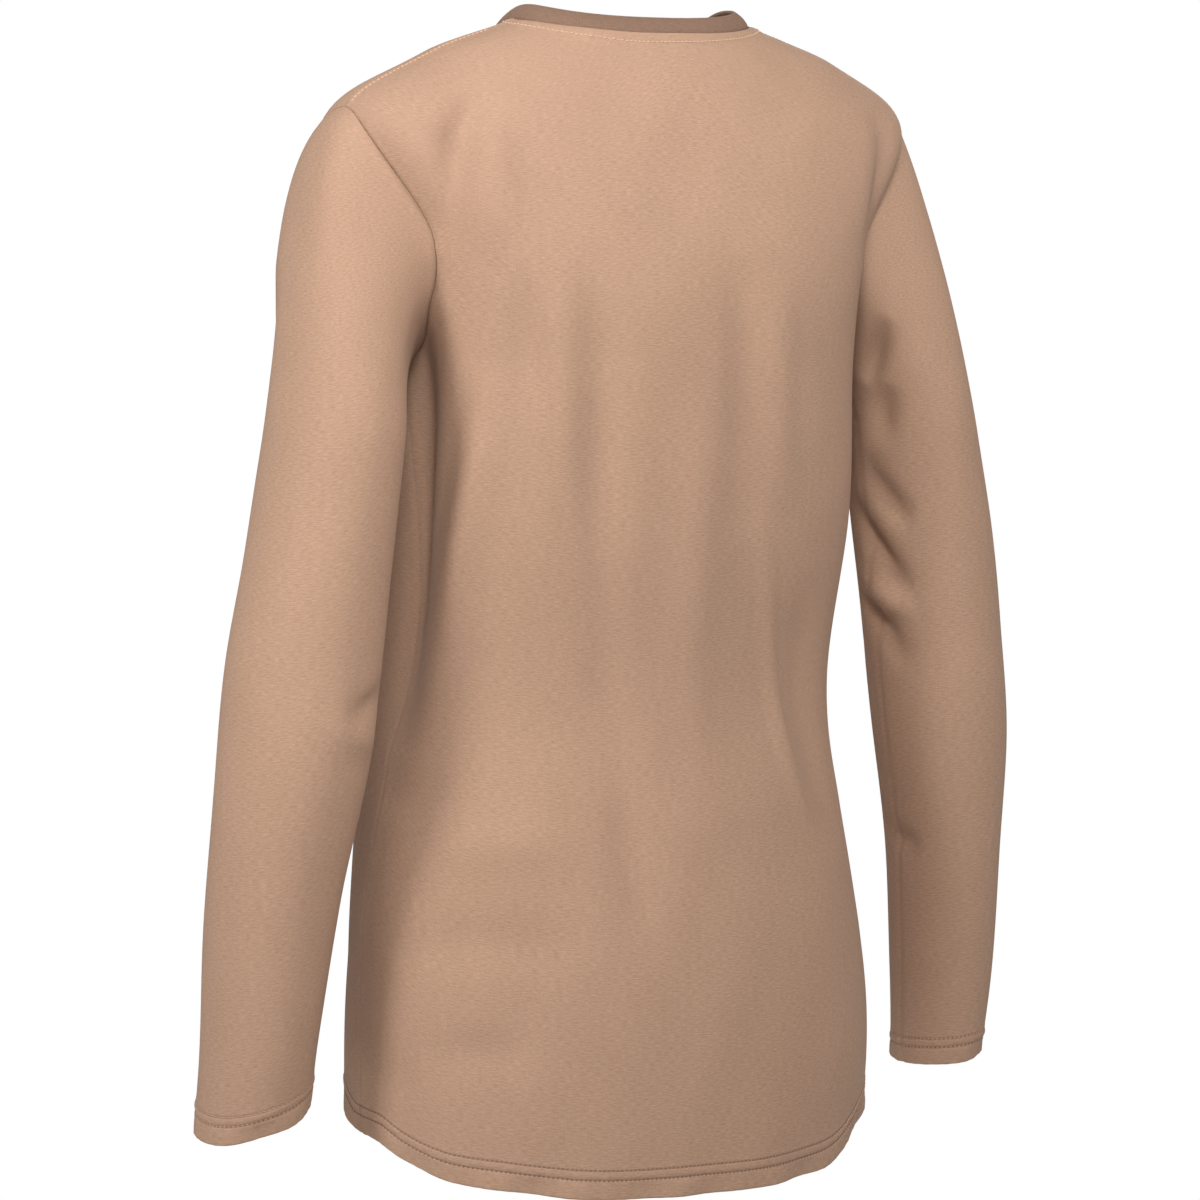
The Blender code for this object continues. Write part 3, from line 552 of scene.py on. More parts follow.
def knitMaterial(name, colour, dark, pitch=0.0009, rows=()):
    material, shader, add, join = nodeTools(name)

    def arith(operation, first, second=None, third=None, clamp=False):
        node = add("ShaderNodeMath", operation=operation, use_clamp=clamp)
        for k, given in enumerate((first, second, third)):
            if given is None:
                continue
            if isinstance(given, (int, float)):
                node.inputs[k].default_value = given
            else:
                join(given, node.inputs[k])
        return node.outputs["Value"]

    flat = add("ShaderNodeUVMap", uv_map="cloth")
    # heathered yarn: short flecks that run across the cloth, over a slow cloudiness
    stretch = add("ShaderNodeMapping", Scale=(230, 1350, 1))
    join(flat.outputs["UV"], stretch.inputs["Vector"])
    fleck = add("ShaderNodeTexNoise", Scale=1.0, Detail=4.0, Roughness=0.75)
    join(stretch.outputs["Vector"], fleck.inputs["Vector"])
    cloud = add("ShaderNodeTexNoise", Scale=21.0, Detail=3.0, Roughness=0.6)
    join(flat.outputs["UV"], cloud.inputs["Vector"])
    grain = arith("MULTIPLY_ADD", fleck.outputs["Fac"], 3.4, -1.2)
    total = arith("MULTIPLY_ADD", cloud.outputs["Fac"], 0.4, arith("SUBTRACT", grain, 0.2), clamp=True)
    tint = blend(add, join, total, dark, colour)
    parts = add("ShaderNodeSeparateXYZ")
    join(flat.outputs["UV"], parts.inputs["Vector"])
    if rows:
        # painted shade: the needle holes and groove between the stitches of the sewn rows are coloured near
        # black, for the shade that falls in them
        offRow = [arith("ABSOLUTE", arith("SUBTRACT", parts.outputs["Y"], row)) for row in rows]
        away = arith("MINIMUM", *offRow)
        onRow = add("ShaderNodeMapRange", interpolation_type="SMOOTHSTEP",
                    **{"From Min": 0.0011, "From Max": 0.0003})
        join(away, onRow.inputs["Value"])
        beat = arith("PINGPONG", arith("MULTIPLY", parts.outputs["X"], 1 / stitchCut["pitch"]), 0.5)
        hole = arith("MULTIPLY", arith("MULTIPLY_ADD", beat, 1.1, 0.15), onRow.outputs["Result"])
        # the near-black painted shade colour for the needle holes
        tint = blend(add, join, hole, tint, (dark[0] * 0.32, dark[1] * 0.3, dark[2] * 0.29, 1))
    join(tint, shader.inputs["Base Color"])
    # jersey face: upright wales of slanting loops
    wale = arith("PINGPONG", arith("MULTIPLY", parts.outputs["X"], 1 / pitch), 0.5)
    loop = arith("PINGPONG", arith("MULTIPLY_ADD", parts.outputs["Y"], 1 / (0.8 * pitch), wale), 0.5)
    weave = arith("MULTIPLY_ADD", loop, 0.7, wale)
    bump = add("ShaderNodeBump", Strength=0.4, Distance=0.00025)
    join(weave, bump.inputs["Height"])
    fuzz = add("ShaderNodeBump", Strength=0.3, Distance=0.0004)
    join(fleck.outputs["Fac"], fuzz.inputs["Height"])
    join(bump.outputs["Normal"], fuzz.inputs["Normal"])
    join(fuzz.outputs["Normal"], shader.inputs["Normal"])
    fill(shader, {"Roughness": 0.88, "Sheen Weight": 0.05, "Sheen Roughness": 0.45,
                  "Sheen Tint": (1.0, 0.86, 0.74, 1), "Specular IOR Level": 0.25})
    return material


def mottle(tools, noise, low, high, stops=(0.0, 1.0)):
    # base colour between two tones after a noise, whose value is handed back
    _, shader, add, join = tools
    where = add("ShaderNodeTexCoord")
    swirl = add("ShaderNodeTexNoise", **noise)
    join(where.outputs["Object"], swirl.inputs["Vector"])
    ramp = add("ShaderNodeValToRGB")
    for element, stop, tone in zip(ramp.color_ramp.elements, stops, (low, high)):
        element.position = stop
        element.color = tone
    join(swirl.outputs["Fac"], ramp.inputs["Fac"])
    join(ramp.outputs["Color"], shader.inputs["Base Color"])
    return swirl.outputs["Fac"]


def threadMaterial(name, colour):
    material, shader, add, join = tools = nodeTools(name)
    dark = tuple(0.78 * part for part in colour[:3]) + (1,)
    twist = mottle(tools, {"Scale": 2600.0, "Detail": 2.0}, dark, colour)
    bump = add("ShaderNodeBump", Strength=0.4, Distance=0.0001)
    join(twist, bump.inputs["Height"])
    join(bump.outputs["Normal"], shader.inputs["Normal"])
    fill(shader, {"Roughness": 0.6, "Sheen Weight": 0.2})
    return material


def buttonMaterial(name, colour):
    material, shader, add, join = tools = nodeTools(name)
    dark = (colour[0] * 0.72, colour[1] * 0.7, colour[2] * 0.68, 1)
    swirl = mottle(tools, {"Scale": 420.0, "Detail": 4.0, "Distortion": 1.6}, dark, colour, (0.35, 0.68))
    gloss = add("ShaderNodeMapRange", **{"To Min": 0.22, "To Max": 0.42})
    join(swirl, gloss.inputs["Value"])
    join(gloss.outputs["Result"], shader.inputs["Roughness"])
    fill(shader, {"Coat Weight": 0.3, "Coat Roughness": 0.15})
    return material


colours = {
    "knit": (0.4, 0.25, 0.17, 1), "knitDark": (0.286, 0.174, 0.114, 1),
    "rib": (0.205, 0.123, 0.085, 1), "ribDark": (0.15, 0.088, 0.06, 1),
    "thread": (0.47, 0.285, 0.19, 1), "paleThread": (0.56, 0.355, 0.235, 1),
    "button": (0.36, 0.225, 0.15, 1),
}
hemLines = (hemCut["lowRow"], hemCut["highRow"])
cloth = {key: knitMaterial("knit" + key, colours["knit"], colours["knitDark"], rows=hemLines)
         for key in ("Back", "Front", "Left", "Right")}
cloth["Placket"] = knitMaterial("knitPlacket", colours["knit"], colours["knitDark"])
rib = knitMaterial("knitRib", colours["rib"], colours["ribDark"], pitch=0.0016)
thread = threadMaterial("sewingThread", colours["thread"])
paleThread = threadMaterial("paleThread", colours["paleThread"])
print("materials made")


# front and back
def stripRelief(distance, width, rise):
    # a strip sewn flat beside a seam, with the groove of its stitches
    groove = dent(distance - width + panelCut["grooveInset"], panelCut["grooveWidth"])
    return rise * step(distance, width, panelCut["edgeSoft"]) - panelCut["groove"] * groove


def panelPiece(name, isFront, material):
    turns, rungs = panelGrid(isFront)
    plain = bodyPlace(turns, rungs)
    normals = bodyNormal(turns, rungs)
    across = runAlong(plain, 0)
    up = runAlong(plain, 1)
    fromSide = np.minimum(across, across[-1] - across)
    fromTop = up[:, -1:] - up
    middle = (plain.shape[0] - 1) // 2
    lift = hemRelief(up, across, 0.9 if isFront else 2.1)
    # side seams, armholes, shoulders and neck sink a little, and the cloth beside them swells
    lift -= panelCut["seamSink"] * dent(fromSide, 0.0008) + panelCut["neckSink"] * dent(fromTop, 0.0012)
    lift += panelCut["seamSwell"] * dent(fromSide - 0.0036, 0.0018)
    rise = panelCut["neckStripFront" if isFront else "neckStripBack"]
    lift += stripRelief(fromTop, panelCut["neckStrip"], rise)
    shoulderStart = turns.shape[1] - 1 - finer(panelCut["shoulderRows"])
    if not isFront:
        onShoulder = np.clip((np.arange(turns.shape[1]) - shoulderStart) / 2.0, 0, 1)[None, :]
        lift += onShoulder * stripRelief(fromSide, panelCut["shoulderStrip"], panelCut["shoulderRise"])
    outer = plain + normals * lift[..., None]
    outer, inner = roundEdge(outer, normals, hemThickness(up), up)
    open = None
    if isFront:
        open = np.zeros(turns.shape, bool)
        foot = len(hemRows) + finer(panelCut["bodyRows"]) - 1
        open[middle - panelCut["slitColumn"]:middle + panelCut["slitColumn"], foot:] = True
    flat = np.stack([across - across[middle][None], up], axis=-1)
    piece = wallPiece(name, outer, inner, flat, material, open=open)
    return piece, outer, normals, fromSide, fromTop, shoulderStart, middle


backPiece, backOuter, backNormals, backSide, backTop, shoulderStart, middle = panelPiece(
    "backPanel", False, cloth["Back"])
frontPiece, frontOuter, frontNormals, _, frontTop, _, _ = panelPiece("frontPanel", True, cloth["Front"])
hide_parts("back")
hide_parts("front")
print("panels made")


# sleeves
def armRing(arm, armTurn, rung):
    knots = np.arange(len(arm))
    value = {name: curveThrough(knots, columnOf(arm, armColumns, name), rung) for name in armColumns}
    offX = value["halfX"] * np.cos(np.radians(armTurn))
    offY = value["halfY"] * np.sin(np.radians(armTurn))
    return np.stack([value["x"] + offX, value["y"] + offY,
                     value["height"] - value["fallX"] * offX - value["fallY"] * offY], axis=-1)


def armholeStart(armTurn, side):
    turn, rung = armholePlace(armTurn)
    mirror = np.array([side, 1, 1])
    seam = bodyPlace(side * turn, rung) * mirror
    facing = ringNormal(side * turn, rung) * mirror
    edge = ringPlace(*armholePlace(armTurn + 0.6)) - ringPlace(*armholePlace(armTurn - 0.6))
    leaving = unit(np.cross(unit(edge), facing))
    under = (1 - np.cos(np.radians(armTurn))) / 2
    beside = np.sin(np.radians(armTurn))
    first = seam + clothCut["gap"] * (leaving + facing * under[..., None])
    change = np.stack([beside ** 2, beside * (1 - under), beside ** 2], axis=-1) * np.array([0.1, 0.15, 0.15])
    change = change + (under ** 2)[..., None] * np.array([-0.15, 0, -0.15])
    way = np.array([sleeveStart[side]["out"], 0, -sleeveStart[side]["down"]]) + change
    dip = np.minimum(np.sum(way * facing, axis=-1, keepdims=True) - 0.1, 0)
    return first, unit(way - facing * dip)


def sleevePlace(arm, side, armTurn, along):
    single = armTurn[:, :1] if armTurn.ndim == 2 else armTurn
    start, way = armholeStart(single, side)
    under = (1 - np.cos(np.radians(single))) / 2
    first = armRing(arm, single, np.zeros(np.shape(single)))
    soon = armRing(arm, single, np.full(np.shape(single), 0.02))
    reach = np.linalg.norm(first - start, axis=-1, keepdims=True)
    pull = sleeveStart[side]["pull"]
    u = np.clip(along, 0, 1)[..., None]
    leave = way * reach * (pull + (1 - pull) * under[..., None])
    arrive = unit(soon - first) * reach
    cap = hermite(u, start, leave, first, arrive)
    return np.where(u < 1, cap, armRing(arm, armTurn, np.clip(along - 1, 0, len(arm) - 1)))


sleeveCut = {
    "columns": 112, "capRows": 44, "tubeRows": 92, "seamSink": 0.0001, "seamSwell": 0.0003,
    "underSink": 0.0007, "underSwell": 0.0002, "underPucker": 0.00018, "puckerRun": 0.013,
}


def sleevePiece(name, side, arm, creases, material, seed):
    count = finer(sleeveCut["columns"])
    armTurns = 180.0 + np.arange(count) * 360.0 / count
    cuffRung = arm[-2][0] - arm[-1][0]
    cuffRows = len(arm) - hemRows[::-1] / cuffRung
    rows = np.concatenate([np.array([0, 0.003, 0.007, 0.013, 0.02, 0.03]),
                           np.linspace(0.03, 1, finer(sleeveCut["capRows"]) + 1)[1:],
                           np.linspace(1, cuffRows[0], finer(sleeveCut["tubeRows"]) + 1)[1:-1], cuffRows])
    turns = armTurns[:, None] * np.ones(len(rows))
    alongs = np.ones(turns.shape) * rows
    plain = sleevePlace(arm, side, turns, alongs)
    normals = gridNormals(plain, around=True)
    lift = creaseDepth(creases, lambda t, a: sleevePlace(arm, side, t, a), plain) + ripple(plain, seed)
    lift *= np.clip(alongs * 3, 0, 1)
    down = runAlong(plain, 1)
    fromCuff = down[:, -1:] - down
    around = runAlong(np.concatenate([plain, plain[:1]]), 0)[:-1]
    girth = around[-1] * count / (count - 1)
    fromUnder = np.minimum(around, girth[None] - around)
    lift += hemRelief(fromCuff, around, seed + 1.0)
    lift += sleeveCut["seamSwell"] * dent(down - 0.0032, 0.0022) - sleeveCut["seamSink"] * dent(down, 0.001)
    pucker = np.sin(down * 2 * math.pi / sleeveCut["puckerRun"] + 1.4 * np.sin(down * 61 + seed))
    lift -= sleeveCut["underSink"] * dent(fromUnder, 0.0022)
    lift += dent(fromUnder - 0.004, 0.003) * (sleeveCut["underSwell"] + sleeveCut["underPucker"] * pucker)
    outer = plain + normals * lift[..., None]
    normals = gridNormals(outer, around=True)
    outer, inner = roundEdge(outer, normals, hemThickness(fromCuff), fromCuff)
    mirror = np.array([side, 1, 1])
    flat = np.stack([around, fromCuff], axis=-1)
    grids = [outer * mirror, inner * mirror, flat]
    if side < 0:
        grids = [grid[::-1] for grid in grids]
    piece = wallPiece(name, *grids, material, around=True)
    return piece, outer * mirror, normals * mirror, fromCuff


leftPiece, leftOuter, leftNormals, leftCuff = sleevePiece(
    "sleeveLeft", 1, leftArm, leftCreases, cloth["Left"], 0.7)
rightPiece, rightOuter, rightNormals, rightCuff = sleevePiece(
    "sleeveRight", -1, rightArm, rightCreases, cloth["Right"], 3.1)
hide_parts("sleeve_left")
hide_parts("sleeve_right")
print("sleeves made")


# neckband: ribs stand up from a plain inside
bandCut = {
    "wall": 0.002, "rise": 0.01, "lean": 0.0095, "bow": 0.0012, "columns": 1300, "ribPitch": 0.0018,
    "ribDepth": 0.00013, "seamSink": 0.0007,
}


def bandPlace(turn, rise):
    rung = np.full(np.shape(turn), neckRung)
    along = ringPlace(turn + 0.6, rung) - ringPlace(turn - 0.6, rung)
    outward = unit(np.stack([-along[..., 1], along[..., 0], 0 * along[..., 0]], axis=-1))
    toward = -outward * bandCut["lean"] + np.array([0, 0, bandCut["rise"]])
    lift = unit(outward * bandCut["rise"] + np.array([0, 0, bandCut["lean"]]))
    share = 0.01 + 0.99 * rise
    bow = bandCut["bow"] * np.sin(math.pi * share)
    return ringPlace(turn, rung) + toward * share[..., None] + lift * bow[..., None]


def bandPiece():
    edge = math.degrees(math.atan2(panelCut["slit"] / 2, rings[-1][0]))
    count = finer(bandCut["columns"])
    turns = np.linspace(180 - edge, edge - 180, count)
    run = runAlong(bandPlace(turns, np.full(count, 0.5)), 0)
    evenRun = np.linspace(0, run[-1], count)
    even = np.interp(evenRun, run, turns)
    rises = np.array([0, 0.03, 0.08, 0.2, 0.4, 0.6, 0.8, 0.91, 0.96, 0.985, 1.0])
    grid = even[:, None] * np.ones(len(rises))
    plain = bandPlace(grid, np.ones(grid.shape) * rises)
    normals = -gridNormals(plain)
    ribs = np.sin(evenRun[:, None] * 2 * math.pi / bandCut["ribPitch"])
    up = runAlong(plain, 1)
    fromTop = up[:, -1:] - up
    lift = bandCut["ribDepth"] * ribs * (1 - dent(up, 0.0008)) - bandCut["seamSink"] * dent(up, 0.001)
    outer = plain + normals * lift[..., None]
    outer, inner = roundEdge(outer, normals, np.full(grid.shape, bandCut["wall"]), fromTop)
    flat = np.stack([evenRun[:, None] * np.ones(len(rises)), up], axis=-1)
    # columns run from the wearer's left front round the back, so the faces are turned to look outwards
    return wallPiece("neckBand", outer[::-1], inner[::-1], flat[::-1], rib), run[-1]


neckPiece, neckRun = bandPiece()
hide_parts("neck_band")
print("neckband made")


# placket strips
placketCut = {
    "width": 0.029, "wall": 0.0016, "lift": 0.0004, "rows": 70, "rowInset": 0.0018, "crossRow": 0.012,
    "rowSink": 0.00035, "rowWidth": 0.0008, "pucker": 0.00012, "puckerRun": 0.009,
}
placketInset = np.array([0, 0.25, 0.6, 1.1, 1.6, 2.1, 2.7, 3.5, 5, 7]) / 1000  # columns beside an edge


def placketBase(xs, fromRung):
    rungs = np.linspace(fromRung, neckRung, finer(placketCut["rows"]))
    lean = np.degrees(np.arctan2(xs[:, None], ringValue("half", rungs)))
    frontPart = bodyPlace(180.0 - lean, np.ones_like(lean) * rungs)
    rises = np.linspace(0, 1, 9)[1:]
    lean = np.degrees(np.arctan2(xs[:, None], ringValue("half", neckRung))) * np.ones(len(rises))
    return np.concatenate([frontPart, bandPlace(180.0 - lean, np.ones_like(lean) * rises)], axis=1)


def placketPiece(name, half, fromRung, lift, thick, stitched):
    inset = placketInset[placketInset < half]
    inward = np.linspace(-half + inset[-1], half - inset[-1], 9)[1:-1]
    xs = np.concatenate([-half + inset, inward, (half - inset)[::-1]])
    base = placketBase(xs, fromRung)
    normals = -gridNormals(base)
    fromSide = np.minimum(xs + half, half - xs)[:, None] * np.ones(base.shape[1])
    up = runAlong(base, 1)
    fromEnd = np.minimum(up, up[:, -1:] - up)
    edge = np.minimum(fromSide, fromEnd)
    relief = np.zeros(base.shape[:2])
    if stitched:
        rows = dent(fromSide - placketCut["rowInset"], placketCut["rowWidth"])
        for height in (placketCut["rowInset"], placketCut["crossRow"]):
            rows = rows + dent(up - height, placketCut["rowWidth"])
        pucker = np.sin(up * 2 * math.pi / placketCut["puckerRun"])
        beside = placketCut["pucker"] * pucker * dent(fromSide - 0.0035, 0.0025)
        relief = beside - placketCut["rowSink"] * rows
    outer = base + normals * (lift + thick + relief)[..., None]
    outer, inner = roundEdge(outer, normals, thick + relief, edge)
    flat = np.stack([xs[:, None] * np.ones(base.shape[1]), up], axis=-1)
    piece = wallPiece(name, outer[::-1], inner[::-1], flat[::-1], cloth["Placket"])
    return piece, outer, normals, xs, up


overPiece, overOuter, overNormals, overXs, overUp = placketPiece(
    "placketOver", placketCut["width"] / 2, armpitRung, placketCut["lift"], placketCut["wall"], True)
underHalf = panelCut["slit"] / 2 - clothCut["gap"]
underPiece, *_ = placketPiece(
    "placketUnder", underHalf, armpitRung + 0.01, -clothCut["wall"], clothCut["wall"], False)
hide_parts("placket_over")
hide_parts("placket_under")
print("placket made")


# sewing
def rowsAt(distance, target):
    # fractional row where the distance from an edge is the target, column by column
    found = []
    for line in distance:
        order = np.argsort(line)
        found.append(np.interp(target, line[order], np.arange(len(line))[order]))
    return np.array(found)


def clothPath(outer, normals, atI, atJ):
    return gridAt(outer, atI, atJ), gridAt(normals, atI, atJ)


def levelPath(outer, normals, distance, target):
    atJ = rowsAt(distance, target)
    return clothPath(outer, normals, np.arange(len(atJ)).astype(float), atJ)


def hemPaths(grids, closed):
    # grids: outer sheet, its normals and the distance from the hem's edge
    if closed:
        grids = [np.concatenate([grid, grid[:1]]) for grid in grids]
    return [levelPath(*grids, target) for target in hemLines]


def neckPath(outer, normals, fromTop, keep):
    points, facing = levelPath(outer, normals, fromTop, panelCut["neckStrip"] - 0.0009)
    return points[keep], facing[keep]


for name, grids, closed, slotName in (
        ("hemStitchBack", (backOuter, backNormals, runAlong(backOuter, 1)), False, "cloth_back"),
        ("hemStitchFront", (frontOuter, frontNormals, runAlong(frontOuter, 1)), False, "cloth_front"),
        ("cuffStitchLeft", (leftOuter, leftNormals, leftCuff), True, "cloth_sleeve_left"),
        ("cuffStitchRight", (rightOuter, rightNormals, rightCuff), True, "cloth_sleeve_right")):
    sew(name, hemPaths(grids, closed), slotName, thread)

wide = len(backTop)
offSlit = placketCut["width"] / 2
leftFront = np.arange(wide)[frontOuter[:, -1, 0] > offSlit]
rightFront = np.arange(wide)[frontOuter[:, -1, 0] < -offSlit]
paleCut = {"width": 0.0009, "rise": 0.0004}
backNeck = [neckPath(backOuter, backNormals, backTop, slice(4, wide - 4))]
frontNeck = [neckPath(frontOuter, frontNormals, frontTop, keep) for keep in (leftFront[:-4], rightFront[4:])]
sew("neckStitchBack", backNeck, "cloth_back", paleThread, **paleCut)
sew("neckStitchFront", frontNeck, "cloth_front", paleThread, **paleCut)

shoulderPaths = []
for side in (-1, 1):
    rows = np.arange(shoulderStart + 1, backOuter.shape[1] - finer(6)).astype(float)
    columns = []
    for j in rows.astype(int):
        line = backSide[:middle + 1, j] if side < 0 else backSide[middle:, j][::-1]
        at = np.interp(panelCut["shoulderStrip"] - 0.0008, line, np.arange(len(line)))
        columns.append(at if side < 0 else len(backSide) - 1 - at)
    shoulderPaths.append(clothPath(backOuter, backNormals, np.array(columns), rows))
sew("shoulderStitch", shoulderPaths, "cloth_back", paleThread, **paleCut)

placketPaths = []
for target in (placketCut["rowInset"] - offSlit, offSlit - placketCut["rowInset"]):
    at = np.interp(target, overXs, np.arange(len(overXs)))
    rows = np.arange(1, overOuter.shape[1] - 1).astype(float)
    placketPaths.append(clothPath(overOuter, overNormals, np.full(len(rows), at), rows))
for height in (placketCut["rowInset"], placketCut["crossRow"]):
    columns = np.arange(3, len(overXs) - 3).astype(float)
    rows = np.array([np.interp(height, overUp[int(c)], np.arange(overUp.shape[1])) for c in columns])
    placketPaths.append(clothPath(overOuter, overNormals, columns, rows))
sew("placketStitch", placketPaths, "cloth_placket_over", thread)
print("sewing made")


# buttons: turned, with a raised rim and four holes, sewn with a cross of thread
buttonCut = {
    "radius": 0.0055, "height": 0.0022, "drops": (0.016, 0.058, 0.1), "sides": 56, "holeRadius": 0.00062,
    "holeOut": 0.0014, "stand": 0.0003, "threadRadius": 0.00022, "threadGap": 0.00016, "threadRise": 0.00045,
    "slotHalf": 0.0078, "slotGap": 0.0009,
}
buttonFoot = ((0.8, 0.0), (0.93, 0.08))  # shares of radius and height, below and inside the rim
buttonDish = ((0.84, 0.985), (0.74, 0.9), (0.66, 0.76), (0.6, 0.7), (0.3, 0.69))


def lathe(profile, sides, x=0.0, y=0.0):
    places = []
    for radius, height in profile:
        places += ringPoints(Vector((x, y, height)), Vector((radius, 0, 0)), Vector((0, radius, 0)), sides)
    return places, ringFaces(0, len(profile), sides) + ringCaps(0, len(profile), sides)


def buttonMesh():
    turns = [-math.pi / 2 + math.pi * k / 6 for k in range(7)]
    rim = [(0.93 + 0.07 * math.cos(turn), 0.55 + 0.45 * math.sin(turn)) for turn in turns]
    shares = (*buttonFoot, *rim, *buttonDish)
    profile = [(buttonCut["radius"] * out, buttonCut["height"] * up) for out, up in shares]
    blank = putIn("buttonBlank", plainMesh("buttonBlank", *lathe(profile, buttonCut["sides"])))
    cutters = []
    for k in range(4):
        angle = math.pi / 4 + k * math.pi / 2
        out = (buttonCut["holeOut"] * math.cos(angle), buttonCut["holeOut"] * math.sin(angle))
        bore = ((buttonCut["holeRadius"], -0.001), (buttonCut["holeRadius"], buttonCut["height"] * 2))
        cutters.append(putIn("buttonHole", plainMesh("buttonHole", *lathe(bore, 14, *out))))
        cut = blank.modifiers.new("hole", "BOOLEAN")
        cut.object = cutters[-1]
        cut.operation = "DIFFERENCE"
        cut.solver = "EXACT"
    bpy.context.view_layer.update()
    made = bpy.data.meshes.new_from_object(blank.evaluated_get(bpy.context.evaluated_depsgraph_get()))
    made.shade_smooth()
    made.set_sharp_from_angle(angle=math.radians(35))
    for spent in cutters + [blank]:
        bpy.data.objects.remove(spent, do_unlink=True)
    return made


def buttonThread():
    places = []
    faces = []
    rows = 9
    sides = 6
    radius = buttonCut["threadRadius"]
    up = Vector((0, 0, 1))
    for turn in (math.pi / 4, 3 * math.pi / 4):
        way = Vector((math.cos(turn), math.sin(turn), 0))
        beside = Vector((-way.y, way.x, 0))
        for offset in (-buttonCut["threadGap"], buttonCut["threadGap"]):
            faces += ringFaces(len(places), rows, sides)
            for r in range(rows):
                t = -1 + 2 * r / (rows - 1)
                level = buttonCut["height"] * 0.7 + buttonCut["threadRise"] * (1 - t ** 4) - 0.0003
                middle = way * buttonCut["holeOut"] * t + beside * offset + up * level
                places += ringPoints(middle, beside * radius, up * radius, sides)
    mesh = plainMesh("buttonThread", places, faces)
    mesh.shade_smooth()
    return mesh


def dropRung(drop):
    rungs = np.linspace(neckRung, armpitRung - 1, 400)
    length = runAlong(ringPlace(np.full(400, 180.0), rungs), 0)
    return np.interp(drop, length, rungs)


shell = buttonMaterial("buttonShell", colours["button"])
blankMesh = buttonMesh()
crossMesh = buttonThread()
middleColumn = overOuter[len(overXs) // 2]
middleRun = runAlong(middleColumn, 0)
holeRows = []
for number, drop in enumerate(buttonCut["drops"], start=1):
    rung = dropRung(drop)
    centre = np.array([[180.0]]), np.array([[rung]])
    spot = bodyPlace(*centre)[0, 0]
    facing = Vector(ringNormal(*centre)[0, 0])
    level = placketCut["lift"] + placketCut["wall"] + buttonCut["stand"]
    outward = facing.to_track_quat("Z", "Y").to_matrix().to_4x4()
    button = placePiece("shirtButton%d" % number, blankMesh.copy(), shell)
    cross = placePiece("buttonCross%d" % number, crossMesh.copy(), thread)
    for piece in (button, cross):
        piece.matrix_world = Matrix.Translation(Vector(spot) + facing * level) @ outward
    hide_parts("button_%d" % number)
    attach(button, "root")
    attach(cross, "root")
    # buttonhole: dense upright bars either side of the slot, its ends showing past the button
    at = middleRun[np.argmin(np.linalg.norm(middleColumn - spot, axis=1))]
    heights = np.linspace(at - buttonCut["slotHalf"], at + buttonCut["slotHalf"], 40)
    rows = np.interp(heights, middleRun, np.arange(len(middleRun)))
    for offset in (-buttonCut["slotGap"], buttonCut["slotGap"]):
        column = np.interp(offset, overXs, np.arange(len(overXs)))
        holeRows.append(clothPath(overOuter, overNormals, np.full(len(rows), column), rows))
holeCut = {"pitch": 0.0005, "length": 0.0004, "width": 0.0013, "rise": 0.0001}
sew("buttonholeStitch", holeRows, "cloth_placket_over", thread, **holeCut)
print("buttons made")

# what each piece is cut from, with its flat size, area and stitches; the loop below only attaches each piece
# to the root body
sheets = (
    (backPiece, "cloth_back", (0.475, 0.715), 0.282, ["hemStitchBack", "neckStitchBack", "shoulderStitch"]),
    (frontPiece, "cloth_front", (0.475, 0.665), 0.275, ["hemStitchFront", "neckStitchFront"]),
    (leftPiece, "cloth_sleeve_left", (0.345, 0.64), 0.146, ["cuffStitchLeft"]),
    (rightPiece, "cloth_sleeve_right", (0.345, 0.64), 0.142, ["cuffStitchRight"]),
    (neckPiece, "rib", (0.503, 0.014), None, []),
    (overPiece, "cloth_placket_over", (0.029, 0.152), None, ["placketStitch", "buttonholeStitch"]),
    (underPiece, "cloth_placket_under", (0.022, 0.15), None, []),
)
for piece, slotName, flat, area, stitches in sheets:
    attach(piece, "root")

# studio
floorCut = {"radius": 12, "height": -1.42, "fadeStart": 1.5, "fadeEnd": 2.6}
floorTurns = [k * math.pi / 32 for k in range(64)]
floorMesh = plainMesh("studioFloor", [
    (floorCut["radius"] * math.cos(turn), floorCut["radius"] * math.sin(turn), floorCut["height"])
    for turn in floorTurns], [tuple(range(64))])
# pale near the shirt, fading into plain white further out
floorMaterial, floorShader, add, join = nodeTools("paleFloor")
where = add("ShaderNodeTexCoord")
reach = add("ShaderNodeVectorMath", operation="LENGTH")
join(where.outputs["Object"], reach.inputs[0])
fade = add("ShaderNodeMapRange", interpolation_type="SMOOTHSTEP",
           **{"From Min": floorCut["fadeStart"], "From Max": floorCut["fadeEnd"]})
join(reach.outputs["Value"], fade.inputs["Value"])
paint = blend(add, join, fade.outputs["Result"], (0.86, 0.86, 0.85, 1), (0.0, 0.0, 0.0, 1))
join(paint, floorShader.inputs["Base Color"])
join(fade.outputs["Result"], floorShader.inputs["Emission Strength"])
fill(floorShader, {"Roughness": 0.9, "Specular IOR Level": 0.0, "Emission Color": (1, 1, 1, 1)})
floor = placePiece("studioFloor", floorMesh, floorMaterial)

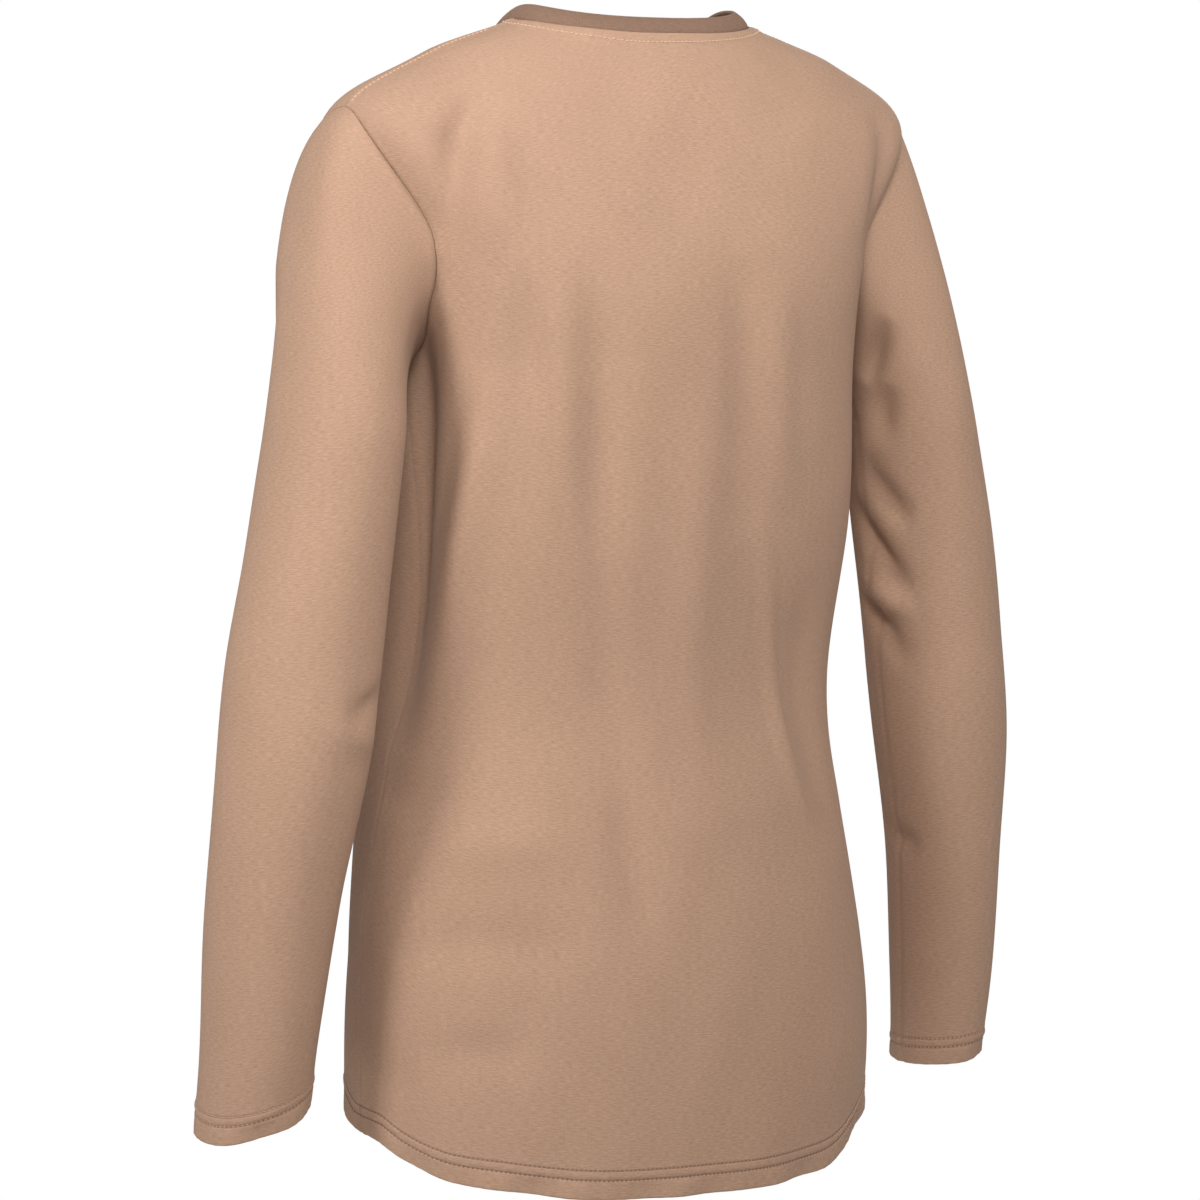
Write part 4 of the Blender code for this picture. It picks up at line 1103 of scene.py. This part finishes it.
scene = bpy.context.scene
world = bpy.data.worlds.new("studio")
world.use_nodes = True
tree = world.node_tree
backdrop = fill(tree.nodes["Background"], {"Color": (1, 1, 1, 1)})
# the backdrop is white to the camera and lights the shirt only faintly
seen = tree.nodes.new("ShaderNodeLightPath")
shine = fill(tree.nodes.new("ShaderNodeMapRange"), {"To Min": 0.07, "To Max": 1.0})
tree.links.new(seen.outputs["Is Camera Ray"], shine.inputs["Value"])
tree.links.new(shine.outputs["Result"], backdrop.inputs["Strength"])
scene.world = world
scene.view_settings.view_transform = "Standard"

# the photo's view
target = Vector((0.008, -0.0045, -0.35))
azimuth = math.radians(150)
elevation = math.radians(5)
level = math.cos(elevation)
toward = Vector((math.sin(azimuth) * level, -math.cos(azimuth) * level, math.sin(elevation)))
rightward = Vector((math.cos(azimuth), math.sin(azimuth), 0))
upward = Vector((0, 0, 1))
cameraData = bpy.data.cameras.new("photoCamera")
cameraData.sensor_width = 36
cameraData.lens = 4100 * 36 / 1200
camera = putIn("photoCamera", cameraData)
camera.location = target + toward * 2.5
camera.rotation_euler = toward.to_track_quat("Z", "Y").to_euler()
scene.camera = camera

# lamps: way from the shirt (towards the camera, to its right, up), distance, width, power
lamps = {
    "highLight": (1.4, 0.05, 1.0, 1.78, 0.5, 23),  # above the camera
    "highLeft": (1.2, -1.3, 0.6, 1.97, 0.5, 22),
    "topRight": (0.8, 0.8, 1.4, 1.85, 0.5, 14),
    "rimLeft": (-1.0, -1.8, 0.9, 2.25, 0.9, 4),
    "rimRight": (0.0, 1.8, 1.2, 2.15, 0.9, 3),
    "frontLight": (-1.7, 0.3, 0.9, 2.3, 1.2, 20),  # broad, for the side the camera doesn't see
}
for name, (ahead, beside, above, distance, width, power) in lamps.items():
    way = toward * ahead + rightward * beside + upward * above
    data = bpy.data.lights.new(name, "AREA")
    data.shape = "DISK"
    data.size = width
    data.energy = power
    lamp = putIn(name, data)
    lamp.location = target + way.normalized() * distance
    lamp.rotation_euler = way.to_track_quat("Z", "Y").to_euler()

print("studio made, neckband run %.3f m" % neckRun)
